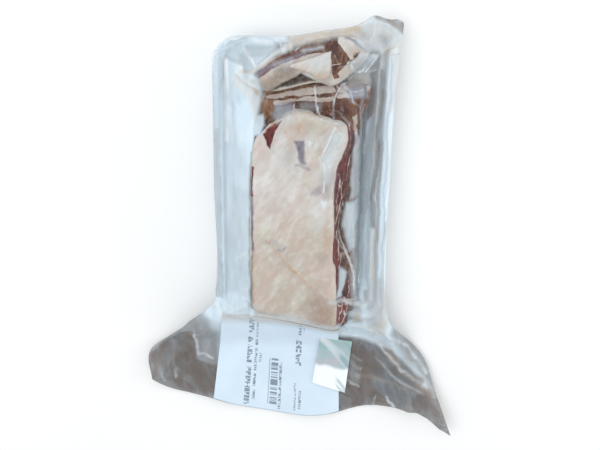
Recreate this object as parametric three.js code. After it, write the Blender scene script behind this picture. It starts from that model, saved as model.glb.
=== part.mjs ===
// A vacuum pack of boneless beef short ribs: slabs of meat on a foam tray, in a clear bag with a flat skirt.
// Units are millimetres and +Z is up. The tray's flat base rests on z = 0 with its centre at the origin.
// The tray is long in Y, and the bag's skirt spreads out past its -Y end under a label and a foil sticker.

import * as THREE from "three";

const { clamp, lerp, smoothstep } = THREE.MathUtils;

// Curve through a list of [position, value] points, held level past its ends.
function curve(points, Interpolant = THREE.CubicInterpolant) {
  const positions = points.map(([position]) => position);
  const values = points.map(([, value]) => value);
  const interpolant = new Interpolant(positions, values, 1);
  return (position) => interpolant.evaluate(position)[0];
}

// Foam tray. A wall's curve runs over the inset from the rim's edge, which is negative outside the rim.
const TRAY = {
  halfWidth: 61.5,
  halfLength: 100,
  corner: 18,
  // The right side is drawn in by the vacuum, and the far end is bent out from a kink in its rim.
  sideBow: 2.5,
  kinkX: -11,
  kinkSlope: 0.168,
  kinkReach: 65,
  insideWall: curve(
    [[-30, -24], [0, 18.5], [1.5, 21.3], [4, 22], [6.5, 21], [9, 16.5], [12, 15.5], [18, 5.5], [21, 4]],
    THREE.LinearInterpolant,
  ),
  outsideWall: curve([[-4, 60], [0, 17], [3, 17], [6, 14], [15, 0]], THREE.LinearInterpolant),
};

// Evenly spaced points of a smooth closed curve through plan points.
function closedOutline(points, count = 72) {
  const corners = points.map(([x, y]) => new THREE.Vector3(x, y, 0));
  return new THREE.CatmullRomCurve3(corners, true, "catmullrom", 0.5).getSpacedPoints(count).slice(0, count);
}

// Slabs of meat, and the flap of fat on the last: plan outline of the upper edge, plan centre, height of the
// top face there, its rise per millimetre along x and y, and the radius of the upper edge. The film lies
// close round the flap, with a narrow bridge.
const SLABS = [
  {
    outline: closedOutline([
      [24.2, -93], [22.6, -56], [20.2, -44], [20.6, -24], [19.4, -10], [20.4, 16], [26.6, 34], [27.6, 41],
      [24.4, 48.4], [9, 53], [0.3, 56], [-9.4, 55.2], [-20, 47.5], [-24, 45.5], [-32.6, 35], [-35, 8],
      [-35.6, -50], [-34.2, -62], [-34.4, -76], [-33.6, -83], [-31, -85.4], [-14, -89.2], [6, -94],
      [19.5, -97.2],
    ]),
    centre: [-5, -20],
    top: 49,
    rise: [0, 0.03],
    edge: 4,
  },
  {
    outline: closedOutline([
      [37.5, -86], [37, -40], [35.5, 0], [36.5, 40], [42.5, 64], [40.5, 71], [33, 72.5], [5, 71.5],
      [-24, 68.5], [-29.5, 62], [-30, 50], [-29, -60], [-28, -80], [-22, -87], [5, -90], [31, -92.5],
    ]),
    centre: [4, -10],
    top: 28,
    rise: [0, 0.02],
    edge: 4,
  },
  {
    outline: closedOutline([
      [-34, 76.2], [-32.5, 73], [-23, 66.5], [6, 72.5], [18, 70.5], [35, 84], [39.5, 92], [38, 96],
      [31, 102], [6, 100], [-24, 86],
    ]),
    centre: [3, 84],
    top: 42,
    rise: [-0.065, 0.24],
    edge: 4,
  },
  {
    outline: closedOutline([
      [-10.5, 83.5], [2, 79], [7.5, 75.3], [14.6, 78], [15.2, 92.4], [14, 93.2], [2, 88.8],
    ]),
    centre: [8, 83],
    top: 44.2,
    rise: [-0.02, 0.16],
    edge: 1.6,
    bridge: 3,
  },
];
// Drop of the film beside a slab per millimetre, steeper within a reach of the tray's far end, and the width
// of an inside corner that it spans. It goes slack to the left and to the near end, and spans more there.
const FILM = {
  slope: 1.9,
  farSlope: 5,
  farReach: 12,
  bridge: 12,
  slackBridge: 26,
  slackLeft: [24, 36],
  slackNear: [78, 92],
};

// Ear of spare film over the tray's far right corner: a ridge between two [x, y, height] points, and the
// bulge that it gives the far edge. The corner under it stays nearly square.
const EAR = {
  from: [28, 80, 38],
  to: [47, 112, 25],
  slope: 0.9,
  corner: 5,
  bulge: 5,
  bulgeX: 43.5,
  bulgeWidth: 7.5,
  reach: 30,
};

// Tents of taut film from the slabs' corners to the tray's corners, as ridges like the ear's.
const TENTS = [
  EAR,
  { from: [-31, 78, 36], to: [-52, 95, 21], slope: 0.8 },
  { from: [-32, -81, 38], to: [-56, -98, 21], slope: 0.8 },
  { from: [30, -92, 24], to: [54, -98, 21], slope: 0.7 },
];

// Skirt of flat film past the tray's near end. The edges give x over a row, and the hem its shift over x.
const SKIRT = {
  start: -105,
  hemRow: -188,
  thickness: 1.4,
  leftEdge: curve([
    [-188, -113],
    [-150, -113],
    [-130, -100],
    [-115, -88],
    [-105, -81],
    [-98, -72],
    [-90, -64],
    [-78, -62],
    [0, -62],
  ]),
  rightEdge: curve([
    [-188, 118],
    [-165, 105],
    [-140, 94],
    [-120, 77],
    [-110, 69],
    [-102, 64],
    [-88, 61.5],
    [0, 61.5],
    [70, 61.7],
    [100, 64.5],
  ]),
  hem: curve([[-113, 30], [-102, 22], [-66, 12], [-17, 0], [20, 0], [62, 8], [94, 2], [118, -15]]),
  nearHeight: 17,
  farHeight: 1.6,
  dropLength: 32,
  waveLength: 69,
  waveHeight: 4.5,
  wavePhase: 0.6,
  curlHeight: 7,
  curlStart: 84,
  tipX: 118,
};
const FOLDS = [
  { from: [57, -101], to: [110, -192], width: 6, height: 6 },
  { from: [63, -112], to: [84, -184], width: 5, height: 4 },
  { from: [-70, -112], to: [-104, -152], width: 7, height: 5 },
];

// Stickers on the skirt's upper side: plan corners from the near left one round to the far left one,
// bow of the far edge, clearance over the film, and cells. The label's near edge follows the skirt's hem at
// a margin.
const STICKER_THICKNESS = 0.4;
const HEM_MARGIN = 1;
const LABEL = {
  corners: [[-66.5, -176], [30.5, -187], [27.5, -103.5], [-57.5, -96]],
  followsHem: true,
  farBow: 5,
  lift: 1,
  cells: [17, 34],
};
const FOIL = {
  corners: [[9.2, -159.2], [34.6, -169], [38.7, -125.2], [14.9, -120.5]],
  followsHem: false,
  farBow: 0,
  lift: 2,
  cells: [6, 9],
};

// Grid of the bag's two faces: lines close together at the rim and where the skirt bends down from it, and
// wider spacing elsewhere.
const RIM_LINES = [0, 1.5, 4, 7, 10, 13, 17.5];
const FIELD_SPACING = 4.4;
const BEND_ROW = -122;
const BEND_SPACING = 2.8;
const SKIRT_SPACING = 5.6;

// Distance to a rounded rectangle about the origin, negative inside.
function roundedDistance(x, y, halfX, halfY, radius) {
  const dx = Math.abs(x) - halfX + radius;
  const dy = Math.abs(y) - halfY + radius;
  return Math.hypot(Math.max(dx, 0), Math.max(dy, 0)) + Math.min(Math.max(dx, dy), 0) - radius;
}

// Larger of two heights, with the inside corner between them bridged over a span.
function bridged(a, b, span) {
  const share = Math.max(span - Math.abs(a - b), 0) / span;
  return Math.max(a, b) + (share * share * span) / 4;
}

// Share of the way along the segment from one plan point to another, and the distance from it.
function fromSegment(x, y, from, to) {
  const [dx, dy] = [to[0] - from[0], to[1] - from[1]];
  const share = clamp(((x - from[0]) * dx + (y - from[1]) * dy) / (dx * dx + dy * dy), 0, 1);
  return { share, distance: Math.hypot(x - from[0] - share * dx, y - from[1] - share * dy) };
}

// How far the tray's far end is bent out at a point.
function kinkShift(x, y) {
  const bend = TRAY.kinkSlope * Math.max(x - TRAY.kinkX, 0);
  return bend * smoothstep(y, TRAY.halfLength - TRAY.kinkReach, TRAY.halfLength);
}

// How far the tray's right side is drawn in at a point.
function sideShift(x, y) {
  const middle = 1 - clamp(y / TRAY.halfLength, -1, 1) ** 2;
  return TRAY.sideBow * middle * clamp(x / TRAY.halfWidth, 0, 1);
}

// Distance in from the rim's edge, measured on the tray as it was before the vacuum bent it.
function trayInset(x, y) {
  const straightX = x + sideShift(x, y);
  const straightY = y - kinkShift(x, y);
  return -roundedDistance(straightX, straightY, TRAY.halfWidth, TRAY.halfLength, TRAY.corner);
}

// Distance to a closed outline in plan, negative inside: there a ray to the right crosses it an odd number of
// times.
function outlineDistance(x, y, outline) {
  let nearest = Infinity;
  let inside = false;
  outline.forEach((a, k) => {
    const b = outline[(k + 1) % outline.length];
    nearest = Math.min(nearest, fromSegment(x, y, [a.x, a.y], [b.x, b.y]).distance);
    const crosses = a.y > y !== b.y > y;
    if (crosses && x < ((b.x - a.x) * (y - a.y)) / (b.y - a.y) + a.x) inside = !inside;
  });
  return inside ? -nearest : nearest;
}

// Height of the film over one slab: its tilted top, a round edge and a steep side.
function slabHeight(slab, x, y) {
  const distance = outlineDistance(x, y, slab.outline);
  const plane = slab.top + slab.rise[0] * (x - slab.centre[0]) + slab.rise[1] * (y - slab.centre[1]);
  const intoEdge = clamp(distance + slab.edge, 0, slab.edge);
  const rounding = slab.edge - Math.sqrt(slab.edge ** 2 - intoEdge ** 2);
  const farShare = smoothstep(y, TRAY.halfLength - FILM.farReach, TRAY.halfLength);
  const slope = lerp(FILM.slope, FILM.farSlope, farShare);
  return plane - rounding - slope * Math.max(distance, 0);
}

// Height of the film on one tent: its ridge, and a slope to each side.
function tentHeight(tent, x, y) {
  const { share, distance } = fromSegment(x, y, tent.from, tent.to);
  return lerp(tent.from[2], tent.to[2], share) - tent.slope * distance;
}

// Share of the way from the tray's near end to the hem.
function skirtShare(row) {
  return clamp((SKIRT.start - row) / (SKIRT.start - SKIRT.hemRow), 0, 1);
}

// Upper side of the skirt: it drops from the tray's lip to the floor, waves, folds and curls at its tips.
function skirtHeight(x, y) {
  const drop = smoothstep(-TRAY.halfLength - y, 0, SKIRT.dropLength);
  const phase = (2 * Math.PI * x) / SKIRT.waveLength + SKIRT.wavePhase;
  const wave = SKIRT.waveHeight * (0.5 + 0.5 * Math.sin(phase));
  const curl = SKIRT.curlHeight * smoothstep(Math.abs(x), SKIRT.curlStart, SKIRT.tipX);
  let height = lerp(SKIRT.nearHeight, SKIRT.farHeight, drop) + skirtShare(y) * (wave + curl);
  for (const fold of FOLDS) {
    const { distance } = fromSegment(x, y, fold.from, fold.to);
    height += fold.height * Math.exp(-((distance / fold.width) ** 2));
  }
  return height;
}

// Upper side of the whole bag.
function topHeight(x, y) {
  const inset = trayInset(x, y);
  const slack = Math.max(smoothstep(-x, ...FILM.slackLeft), smoothstep(-y, ...FILM.slackNear));
  const span = lerp(FILM.bridge, FILM.slackBridge, slack);
  let height = TRAY.insideWall(inset);
  for (const slab of SLABS) height = bridged(height, slabHeight(slab, x, y), slab.bridge ?? span);
  for (const tent of TENTS) height = bridged(height, tentHeight(tent, x, y), FILM.bridge / 2);
  if (inset < 0 && y < 0) height = bridged(height, skirtHeight(x, y), FILM.bridge / 4);
  return height;
}

// Underside of the whole bag: the tray's base and outer wall, and elsewhere the film's own underside.
function underHeight(x, y) {
  const wall = TRAY.outsideWall(trayInset(x, y));
  return Math.max(0, Math.min(wall, topHeight(x, y) - SKIRT.thickness));
}

// Closed plate between two heights over a plan grid, with both faces split into triangles alike.
// The plan function gives the plan point of column i and row j.
function plateGeometry(columns, rows, plan, top, under) {
  const points = [];
  for (const height of [top, under]) {
    for (let j = 0; j < rows; j++) {
      for (let i = 0; i < columns; i++) {
        const [x, y] = plan(i, j);
        points.push(new THREE.Vector3(x, y, height(x, y)));
      }
    }
  }
  const below = columns * rows;
  const index = [];
  for (let j = 0; j < rows - 1; j++) {
    for (let i = 0; i < columns - 1; i++) {
      const [a, b] = [j * columns + i, j * columns + i + 1];
      const [c, d] = [a + columns, b + columns];
      index.push(a, b, d, a, d, c);
      index.push(below + a, below + d, below + b, below + a, below + c, below + d);
    }
  }
  const border = [];
  for (let i = 0; i < columns - 1; i++) border.push(i);
  for (let j = 0; j < rows - 1; j++) border.push(j * columns + columns - 1);
  for (let i = columns - 1; i > 0; i--) border.push((rows - 1) * columns + i);
  for (let j = rows - 1; j > 0; j--) border.push(j * columns);
  border.forEach((a, k) => {
    const b = border[(k + 1) % border.length];
    index.push(a, below + a, below + b, a, below + b, b);
  });
  const geometry = new THREE.BufferGeometry().setFromPoints(points).setIndex(index);
  geometry.computeVertexNormals();
  return geometry;
}

// Evenly spaced numbers from one end to the other, no further apart than the spacing.
function spaced(from, to, spacing) {
  const cells = Math.ceil(Math.abs(to - from) / spacing);
  return Array.from({ length: cells + 1 }, (_, i) => lerp(from, to, i / cells));
}

// Grid lines across the tray from one rim to the other, for a half size of the tray.
function trayLines(half) {
  const field = half - RIM_LINES[RIM_LINES.length - 1];
  return [
    ...RIM_LINES.map((inset) => inset - half),
    ...spaced(-field, field, FIELD_SPACING).slice(1, -1),
    ...RIM_LINES.map((inset) => half - inset).reverse(),
  ];
}

// How far a rounded far corner draws the end of a row in.
function cornerPull(row, radius) {
  const rise = clamp(row - TRAY.halfLength + radius, 0, radius);
  return radius - Math.sqrt(radius ** 2 - rise ** 2);
}

// Closed solid of the sealed bag, on rows from the hem to the far end and columns across each row.
function sealedBag() {
  const rowLines = [
    ...spaced(SKIRT.hemRow, BEND_ROW, SKIRT_SPACING),
    ...spaced(BEND_ROW, -TRAY.halfLength, BEND_SPACING).slice(1, -1),
    ...trayLines(TRAY.halfLength),
  ];
  const columnShares = trayLines(TRAY.halfWidth).map((x) => 0.5 + x / (2 * TRAY.halfWidth));
  const plan = (i, j) => {
    const row = rowLines[j];
    const left = SKIRT.leftEdge(row) + cornerPull(row, TRAY.corner);
    const right = SKIRT.rightEdge(row) - cornerPull(row, EAR.corner);
    const x = lerp(left, right, columnShares[i]);
    const hemShift = SKIRT.hem(x) * skirtShare(row);
    const nearFarEnd = smoothstep(row, TRAY.halfLength - EAR.reach, TRAY.halfLength);
    const earShift = EAR.bulge * Math.exp(-(((x - EAR.bulgeX) / EAR.bulgeWidth) ** 2)) * nearFarEnd;
    return [x - sideShift(x, row), row + hemShift + kinkShift(x, row) + earShift];
  };
  const geometry = plateGeometry(columnShares.length, rowLines.length, plan, topHeight, underHeight);
  const film = new THREE.MeshStandardMaterial({ color: 0xd9d2c9, roughness: 0.25, metalness: 0 });
  const mesh = new THREE.Mesh(geometry, film);
  mesh.name = "sealed_bag";
  return mesh;
}

// Thin sticker that follows the skirt's upper side at its own lift.
function sticker(name, size, material) {
  const [cellsX, cellsY] = size.cells;
  const [nearLeft, nearRight, farRight, farLeft] = size.corners;
  const plan = (i, j) => {
    const [across, along] = [i / cellsX, j / cellsY];
    const x = lerp(lerp(nearLeft[0], nearRight[0], across), lerp(farLeft[0], farRight[0], across), along);
    const straightNear = lerp(nearLeft[1], nearRight[1], across);
    const near = size.followsHem ? SKIRT.hemRow + SKIRT.hem(x) + HEM_MARGIN : straightNear;
    const far = lerp(farLeft[1], farRight[1], across) + size.farBow * 4 * across * (1 - across);
    return [x, lerp(near, far, along)];
  };
  const under = (x, y) => topHeight(x, y) + size.lift;
  const top = (x, y) => under(x, y) + STICKER_THICKNESS;
  const mesh = new THREE.Mesh(plateGeometry(cellsX + 1, cellsY + 1, plan, top, under), material);
  mesh.name = name;
  return mesh;
}

const paper = new THREE.MeshStandardMaterial({ color: 0xd5e4ee, roughness: 0.7, metalness: 0 });
const foil = new THREE.MeshStandardMaterial({ color: 0xc4d2d6, roughness: 0.25, metalness: 0.9 });

const pack = new THREE.Group();
pack.add(sealedBag(), sticker("label", LABEL, paper), sticker("foil_sticker", FOIL, foil));

export default pack;
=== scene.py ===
"""Vacuum pack of boneless short ribs: slabs of meat on a foam tray, in a clear bag with two stickers."""

import math

import bpy
import numpy as np
from bpy.props import FloatProperty, FloatVectorProperty, PointerProperty
from mathutils import Matrix, Vector


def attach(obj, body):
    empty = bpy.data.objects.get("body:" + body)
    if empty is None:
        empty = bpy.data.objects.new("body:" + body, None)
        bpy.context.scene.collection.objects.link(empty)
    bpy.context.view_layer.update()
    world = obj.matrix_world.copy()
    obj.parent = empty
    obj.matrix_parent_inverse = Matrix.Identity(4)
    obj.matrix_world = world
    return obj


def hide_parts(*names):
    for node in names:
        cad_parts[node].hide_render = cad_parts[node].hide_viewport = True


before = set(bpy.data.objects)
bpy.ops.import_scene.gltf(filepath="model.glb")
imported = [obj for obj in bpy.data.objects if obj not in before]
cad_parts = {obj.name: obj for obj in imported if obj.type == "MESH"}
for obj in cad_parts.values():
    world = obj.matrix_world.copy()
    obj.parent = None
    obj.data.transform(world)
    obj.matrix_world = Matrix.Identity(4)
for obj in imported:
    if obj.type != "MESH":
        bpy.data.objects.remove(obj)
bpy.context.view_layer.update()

bl_info = {
    "name": "Short Rib Pack",
    "version": (1, 0, 0),
    "blender": (4, 5, 0),
    "location": "3D View > Sidebar > Short Rib Pack",
    "description": "Builds slabs of short rib on a foam tray inside a clear vacuum bag",
    "category": "Add Mesh",
}

# Shapes are worked out in millimetres and written to their meshes in metres.
MM = 0.001

# Foam tray, before the vacuum bent it. Wall heights run over the inset from the rim's edge.
TRAY_HALF_WIDTH = 61.5
TRAY_HALF_LENGTH = 100.0
TRAY_CORNER = 18.0
TRAY_SIDE_BOW = 2.5
TRAY_KINK_X = -11.0
TRAY_KINK_SLOPE = 0.168
TRAY_KINK_REACH = 65.0
FILM_ON_TRAY = [
    (-30, -24), (0, 18.5), (1.5, 21.3), (4, 22), (6.5, 21), (9, 16.5), (12, 15.5), (18, 5.5), (21, 4),
]
FILM_UNDER_TRAY = [(-4, 60), (0, 17), (3, 17), (6, 14), (15, 0)]
# The foam's own section: inside from the floor over the lip, then outside down to the base.
FOAM_SECTION = [
    (24, 3.4), (20.5, 3.6), (17.5, 5.4), (12.2, 14.6), (11.4, 15.1), (9.3, 15.5), (8.6, 16.2), (6.6, 20.2),
    (5.6, 20.9), (3.6, 21.3), (1.9, 20.7), (0.8, 19.0), (0.7, 17.6), (3.0, 17.5), (6.3, 14.4), (15.1, 0.7),
    (16.5, 0.4), (24, 0.4),
]
# Least radius of the foam's corners in plan.
FOAM_LEAST_CORNER = 3.0
# Juice on the foam: it sets in over ranges of x, y and z at the far rim, and runs along the right ledge.
RIM_STAIN = {"x": (-14, 10), "y": (84, 98), "z": (12, 17)}
LEDGE_STAIN = {"x": (30, 45), "inset": 10.5, "width": 1.8, "strength": 0.6}

# Slabs of meat: outline of the upper edge in plan, plan centre, height at the centre with its rise along x
# and y, radius of the upper edge, height of the underside, and how far each side leans out at the bottom.
SLABS = {
    "slab_front": {
        "outline": [
            (24.2, -93), (22.6, -56), (20.2, -44), (20.6, -24), (19.4, -10), (20.4, 16), (26.6, 34),
            (27.6, 41), (24.4, 48.4), (9, 53), (0.3, 56), (-9.4, 55.2), (-20, 47.5), (-24, 45.5),
            (-32.6, 35), (-35, 8), (-35.6, -50), (-34.2, -62), (-34.4, -76), (-33.6, -83), (-31, -85.4),
            (-14, -89.2), (6, -94), (19.5, -97.2),
        ],
        "centre": (-5, -20), "top": 49, "rise": (0, 0.03), "edge": 4, "bottom": 26.5,
        "lean_out": {
            "right": [
                (-96, 9), (-82, 9), (-76, 5), (-56, 4), (-48, 6), (-38, 6.5), (-30, 4), (-20, 7), (0, 9.5),
                (20, 10), (34, 8), (46, 5),
            ],
            "left": 0.6, "far": 4, "near": 3,
        },
    },
    "slab_middle": {
        "outline": [
            (37.5, -86), (37, -40), (35.5, 0), (36.5, 40), (42.5, 64), (40.5, 71), (33, 72.5), (5, 71.5),
            (-24, 68.5), (-29.5, 62), (-30, 50), (-29, -60), (-28, -80), (-22, -87), (5, -90),
            (31, -92.5),
        ],
        "centre": (4, -10), "top": 28, "rise": (0, 0.02), "edge": 4, "bottom": 4.2,
        "lean_out": {"right": [(0, -1)], "left": -1, "far": -1, "near": -1},
    },
    "slab_back": {
        "outline": [
            (-34, 76.2), (-32.5, 73), (-23, 66.5), (6, 72.5), (18, 70.5), (35, 84), (39.5, 92), (38, 96),
            (31, 102), (6, 100), (-24, 86),
        ],
        "centre": (3, 84), "top": 42, "rise": (-0.065, 0.24), "edge": 4, "bottom": 6,
        "lean_out": {"right": [(0, -3)], "left": -2, "far": -16, "near": -8},
    },
    "fat_flap": {
        "outline": [
            (-10.5, 83.5), (2, 79), (7.5, 75.3), (14.6, 78), (15.2, 92.4), (14, 93.2), (2, 88.8),
        ],
        "centre": (8, 83), "top": 44.2, "rise": (-0.02, 0.16), "edge": 1.6, "bottom": 39,
        "lean_out": {"right": [(0, 0)], "left": 0, "far": 0, "near": 0.5},
    },
}
# Points on a slab's upper edge that the film's distance is measured from.
SLAB_EDGE_POINTS = 72
# How far noise moves a slab's outline and its sides.
OUTLINE_ROUGHNESS = 0.5
SIDE_ROUGHNESS = 1.1
# Film over the slabs: slope of its sides, the steeper slope by the tray's far end, the span that it bridges
# at an inside corner, and the longer span where it hangs slack on the left and near sides.
FILM_SLOPE = 1.9
FAR_SLOPE = 5.0
FAR_SLOPE_REACH = 12.0
FILM_BRIDGE = 12.0
FLAP_BRIDGE = 3.0
SLACK_BRIDGE = 26.0
SLACK_LEFT = (24, 36)
SLACK_NEAR = (78, 92)
MEAT_CLEARANCE = 0.8
# Every how many columns of the film's upper side its underside has a point.
UNDERSIDE_STEP = 10

# Ear of spare film over the far right corner, and tents of taut film from the slabs' corners to the tray's.
EAR = {"from": (28, 80, 38), "to": (47, 112, 25), "slope": 0.9}
EAR_EDGE = {"corner": 5, "bulge": 5, "x": 43.5, "width": 7.5, "reach": 30}
TENTS = [
    EAR,
    {"from": (-31, 78, 36), "to": (-52, 95, 21), "slope": 0.8},
    {"from": (-32, -81, 38), "to": (-56, -98, 21), "slope": 0.8},
    {"from": (30, -92, 24), "to": (54, -98, 21), "slope": 0.7},
]

# Skirt past the tray's near end: edges, hem, heights and folds.
SKIRT_START = -105.0
SKIRT_HEM = -188.0
SKIRT_GAP = 1.4
SKIRT_LEFT = [
    (-188, -113), (-150, -113), (-130, -100), (-115, -88), (-105, -81), (-98, -72), (-90, -64), (-78, -62),
    (0, -62),
]
SKIRT_RIGHT = [
    (-188, 118), (-165, 105), (-140, 94), (-120, 77), (-110, 69), (-102, 64), (-88, 61.5), (0, 61.5),
    (70, 61.7), (100, 64.5),
]
SKIRT_HEM_SHIFT = [(-113, 30), (-102, 22), (-66, 12), (-17, 0), (20, 0), (62, 8), (94, 2), (118, -15)]
SKIRT_HEIGHTS = (17.0, 1.6)
SKIRT_DROP = 32.0
SKIRT_WAVE = {"length": 69.0, "height": 4.5, "phase": 0.6}
SKIRT_CURL = {"height": 7.0, "start": 84.0, "end": 118.0}
SKIRT_FOLDS = [
    {"from": (57, -101), "to": (110, -192), "width": 6, "height": 6},
    {"from": (63, -112), "to": (84, -184), "width": 5, "height": 4},
    {"from": (-70, -112), "to": (-104, -152), "width": 7, "height": 5},
]

# Stickers: corners in plan (near left, near right, far right, far left), bow of the far edge, rise above the
# film, and cells. Close to its far edge a sticker sinks by a share of its rise.
HEM_MARGIN = 1.0
STICKER_SINK = 0.6
STICKER_SINK_START = 0.92
LABEL = {
    "corners": [(-66.5, -176), (30.5, -187), (27.5, -103.5), (-57.5, -96)],
    "follows_hem": True, "far_bow": 5, "lift": 1.0, "cells": (190, 160),
}
FOIL = {
    "corners": [(9.2, -159.2), (34.6, -169), (38.7, -125.2), (14.9, -120.5)],
    "follows_hem": False, "far_bow": 0, "lift": 2.0, "cells": (80, 120),
}
# The label's far end carries a painted shadow of the meat, from a share of its length on.
PAINTED_SHADOW_START = 0.82
# Print on the label, as shares of its width and length: left, right, near, far, and one dash's length in mm.
# A dash length of 0 is a solid bar, and one below 0 makes plain stripes.
PRINT_LENGTH = 80.0
PRINT = [
    (0.236, 0.276, 0.02, 0.385, 2.6), (0.236, 0.276, 0.43, 0.60, 2.6), (0.236, 0.276, 0.63, 0.70, 2.6),
    (0.240, 0.280, 0.75, 0.98, 2.6),
    (0.298, 0.318, 0.08, 0.17, 1.5), (0.298, 0.318, 0.20, 0.33, 1.5), (0.298, 0.318, 0.36, 0.57, 1.5),
    (0.298, 0.318, 0.60, 0.66, 1.5), (0.300, 0.320, 0.69, 0.90, 1.5), (0.334, 0.354, 0.44, 0.53, 1.5),
    (0.425, 0.429, 0.06, 0.49, 0), (0.44, 0.50, 0.05, 0.49, -0.55), (0.51, 0.53, 0.02, 0.46, 1.7),
    (0.640, 0.688, 0.45, 0.70, 3.2), (0.662, 0.684, 0.76, 0.86, 1.8), (0.662, 0.684, 0.90, 0.97, 1.8),
    (0.698, 0.710, 0.80, 0.88, 1.8),
    (0.632, 0.652, 0.03, 0.29, 1.8), (0.672, 0.690, 0.05, 0.22, 1.6),
]
# How far along the foil its painted white glare reaches, and from where across it the creases, drawn in
# painted shade, set in.
GLARE_REACH = 0.42
FOIL_CREASES_FROM = (0.6, 0.78)

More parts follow.
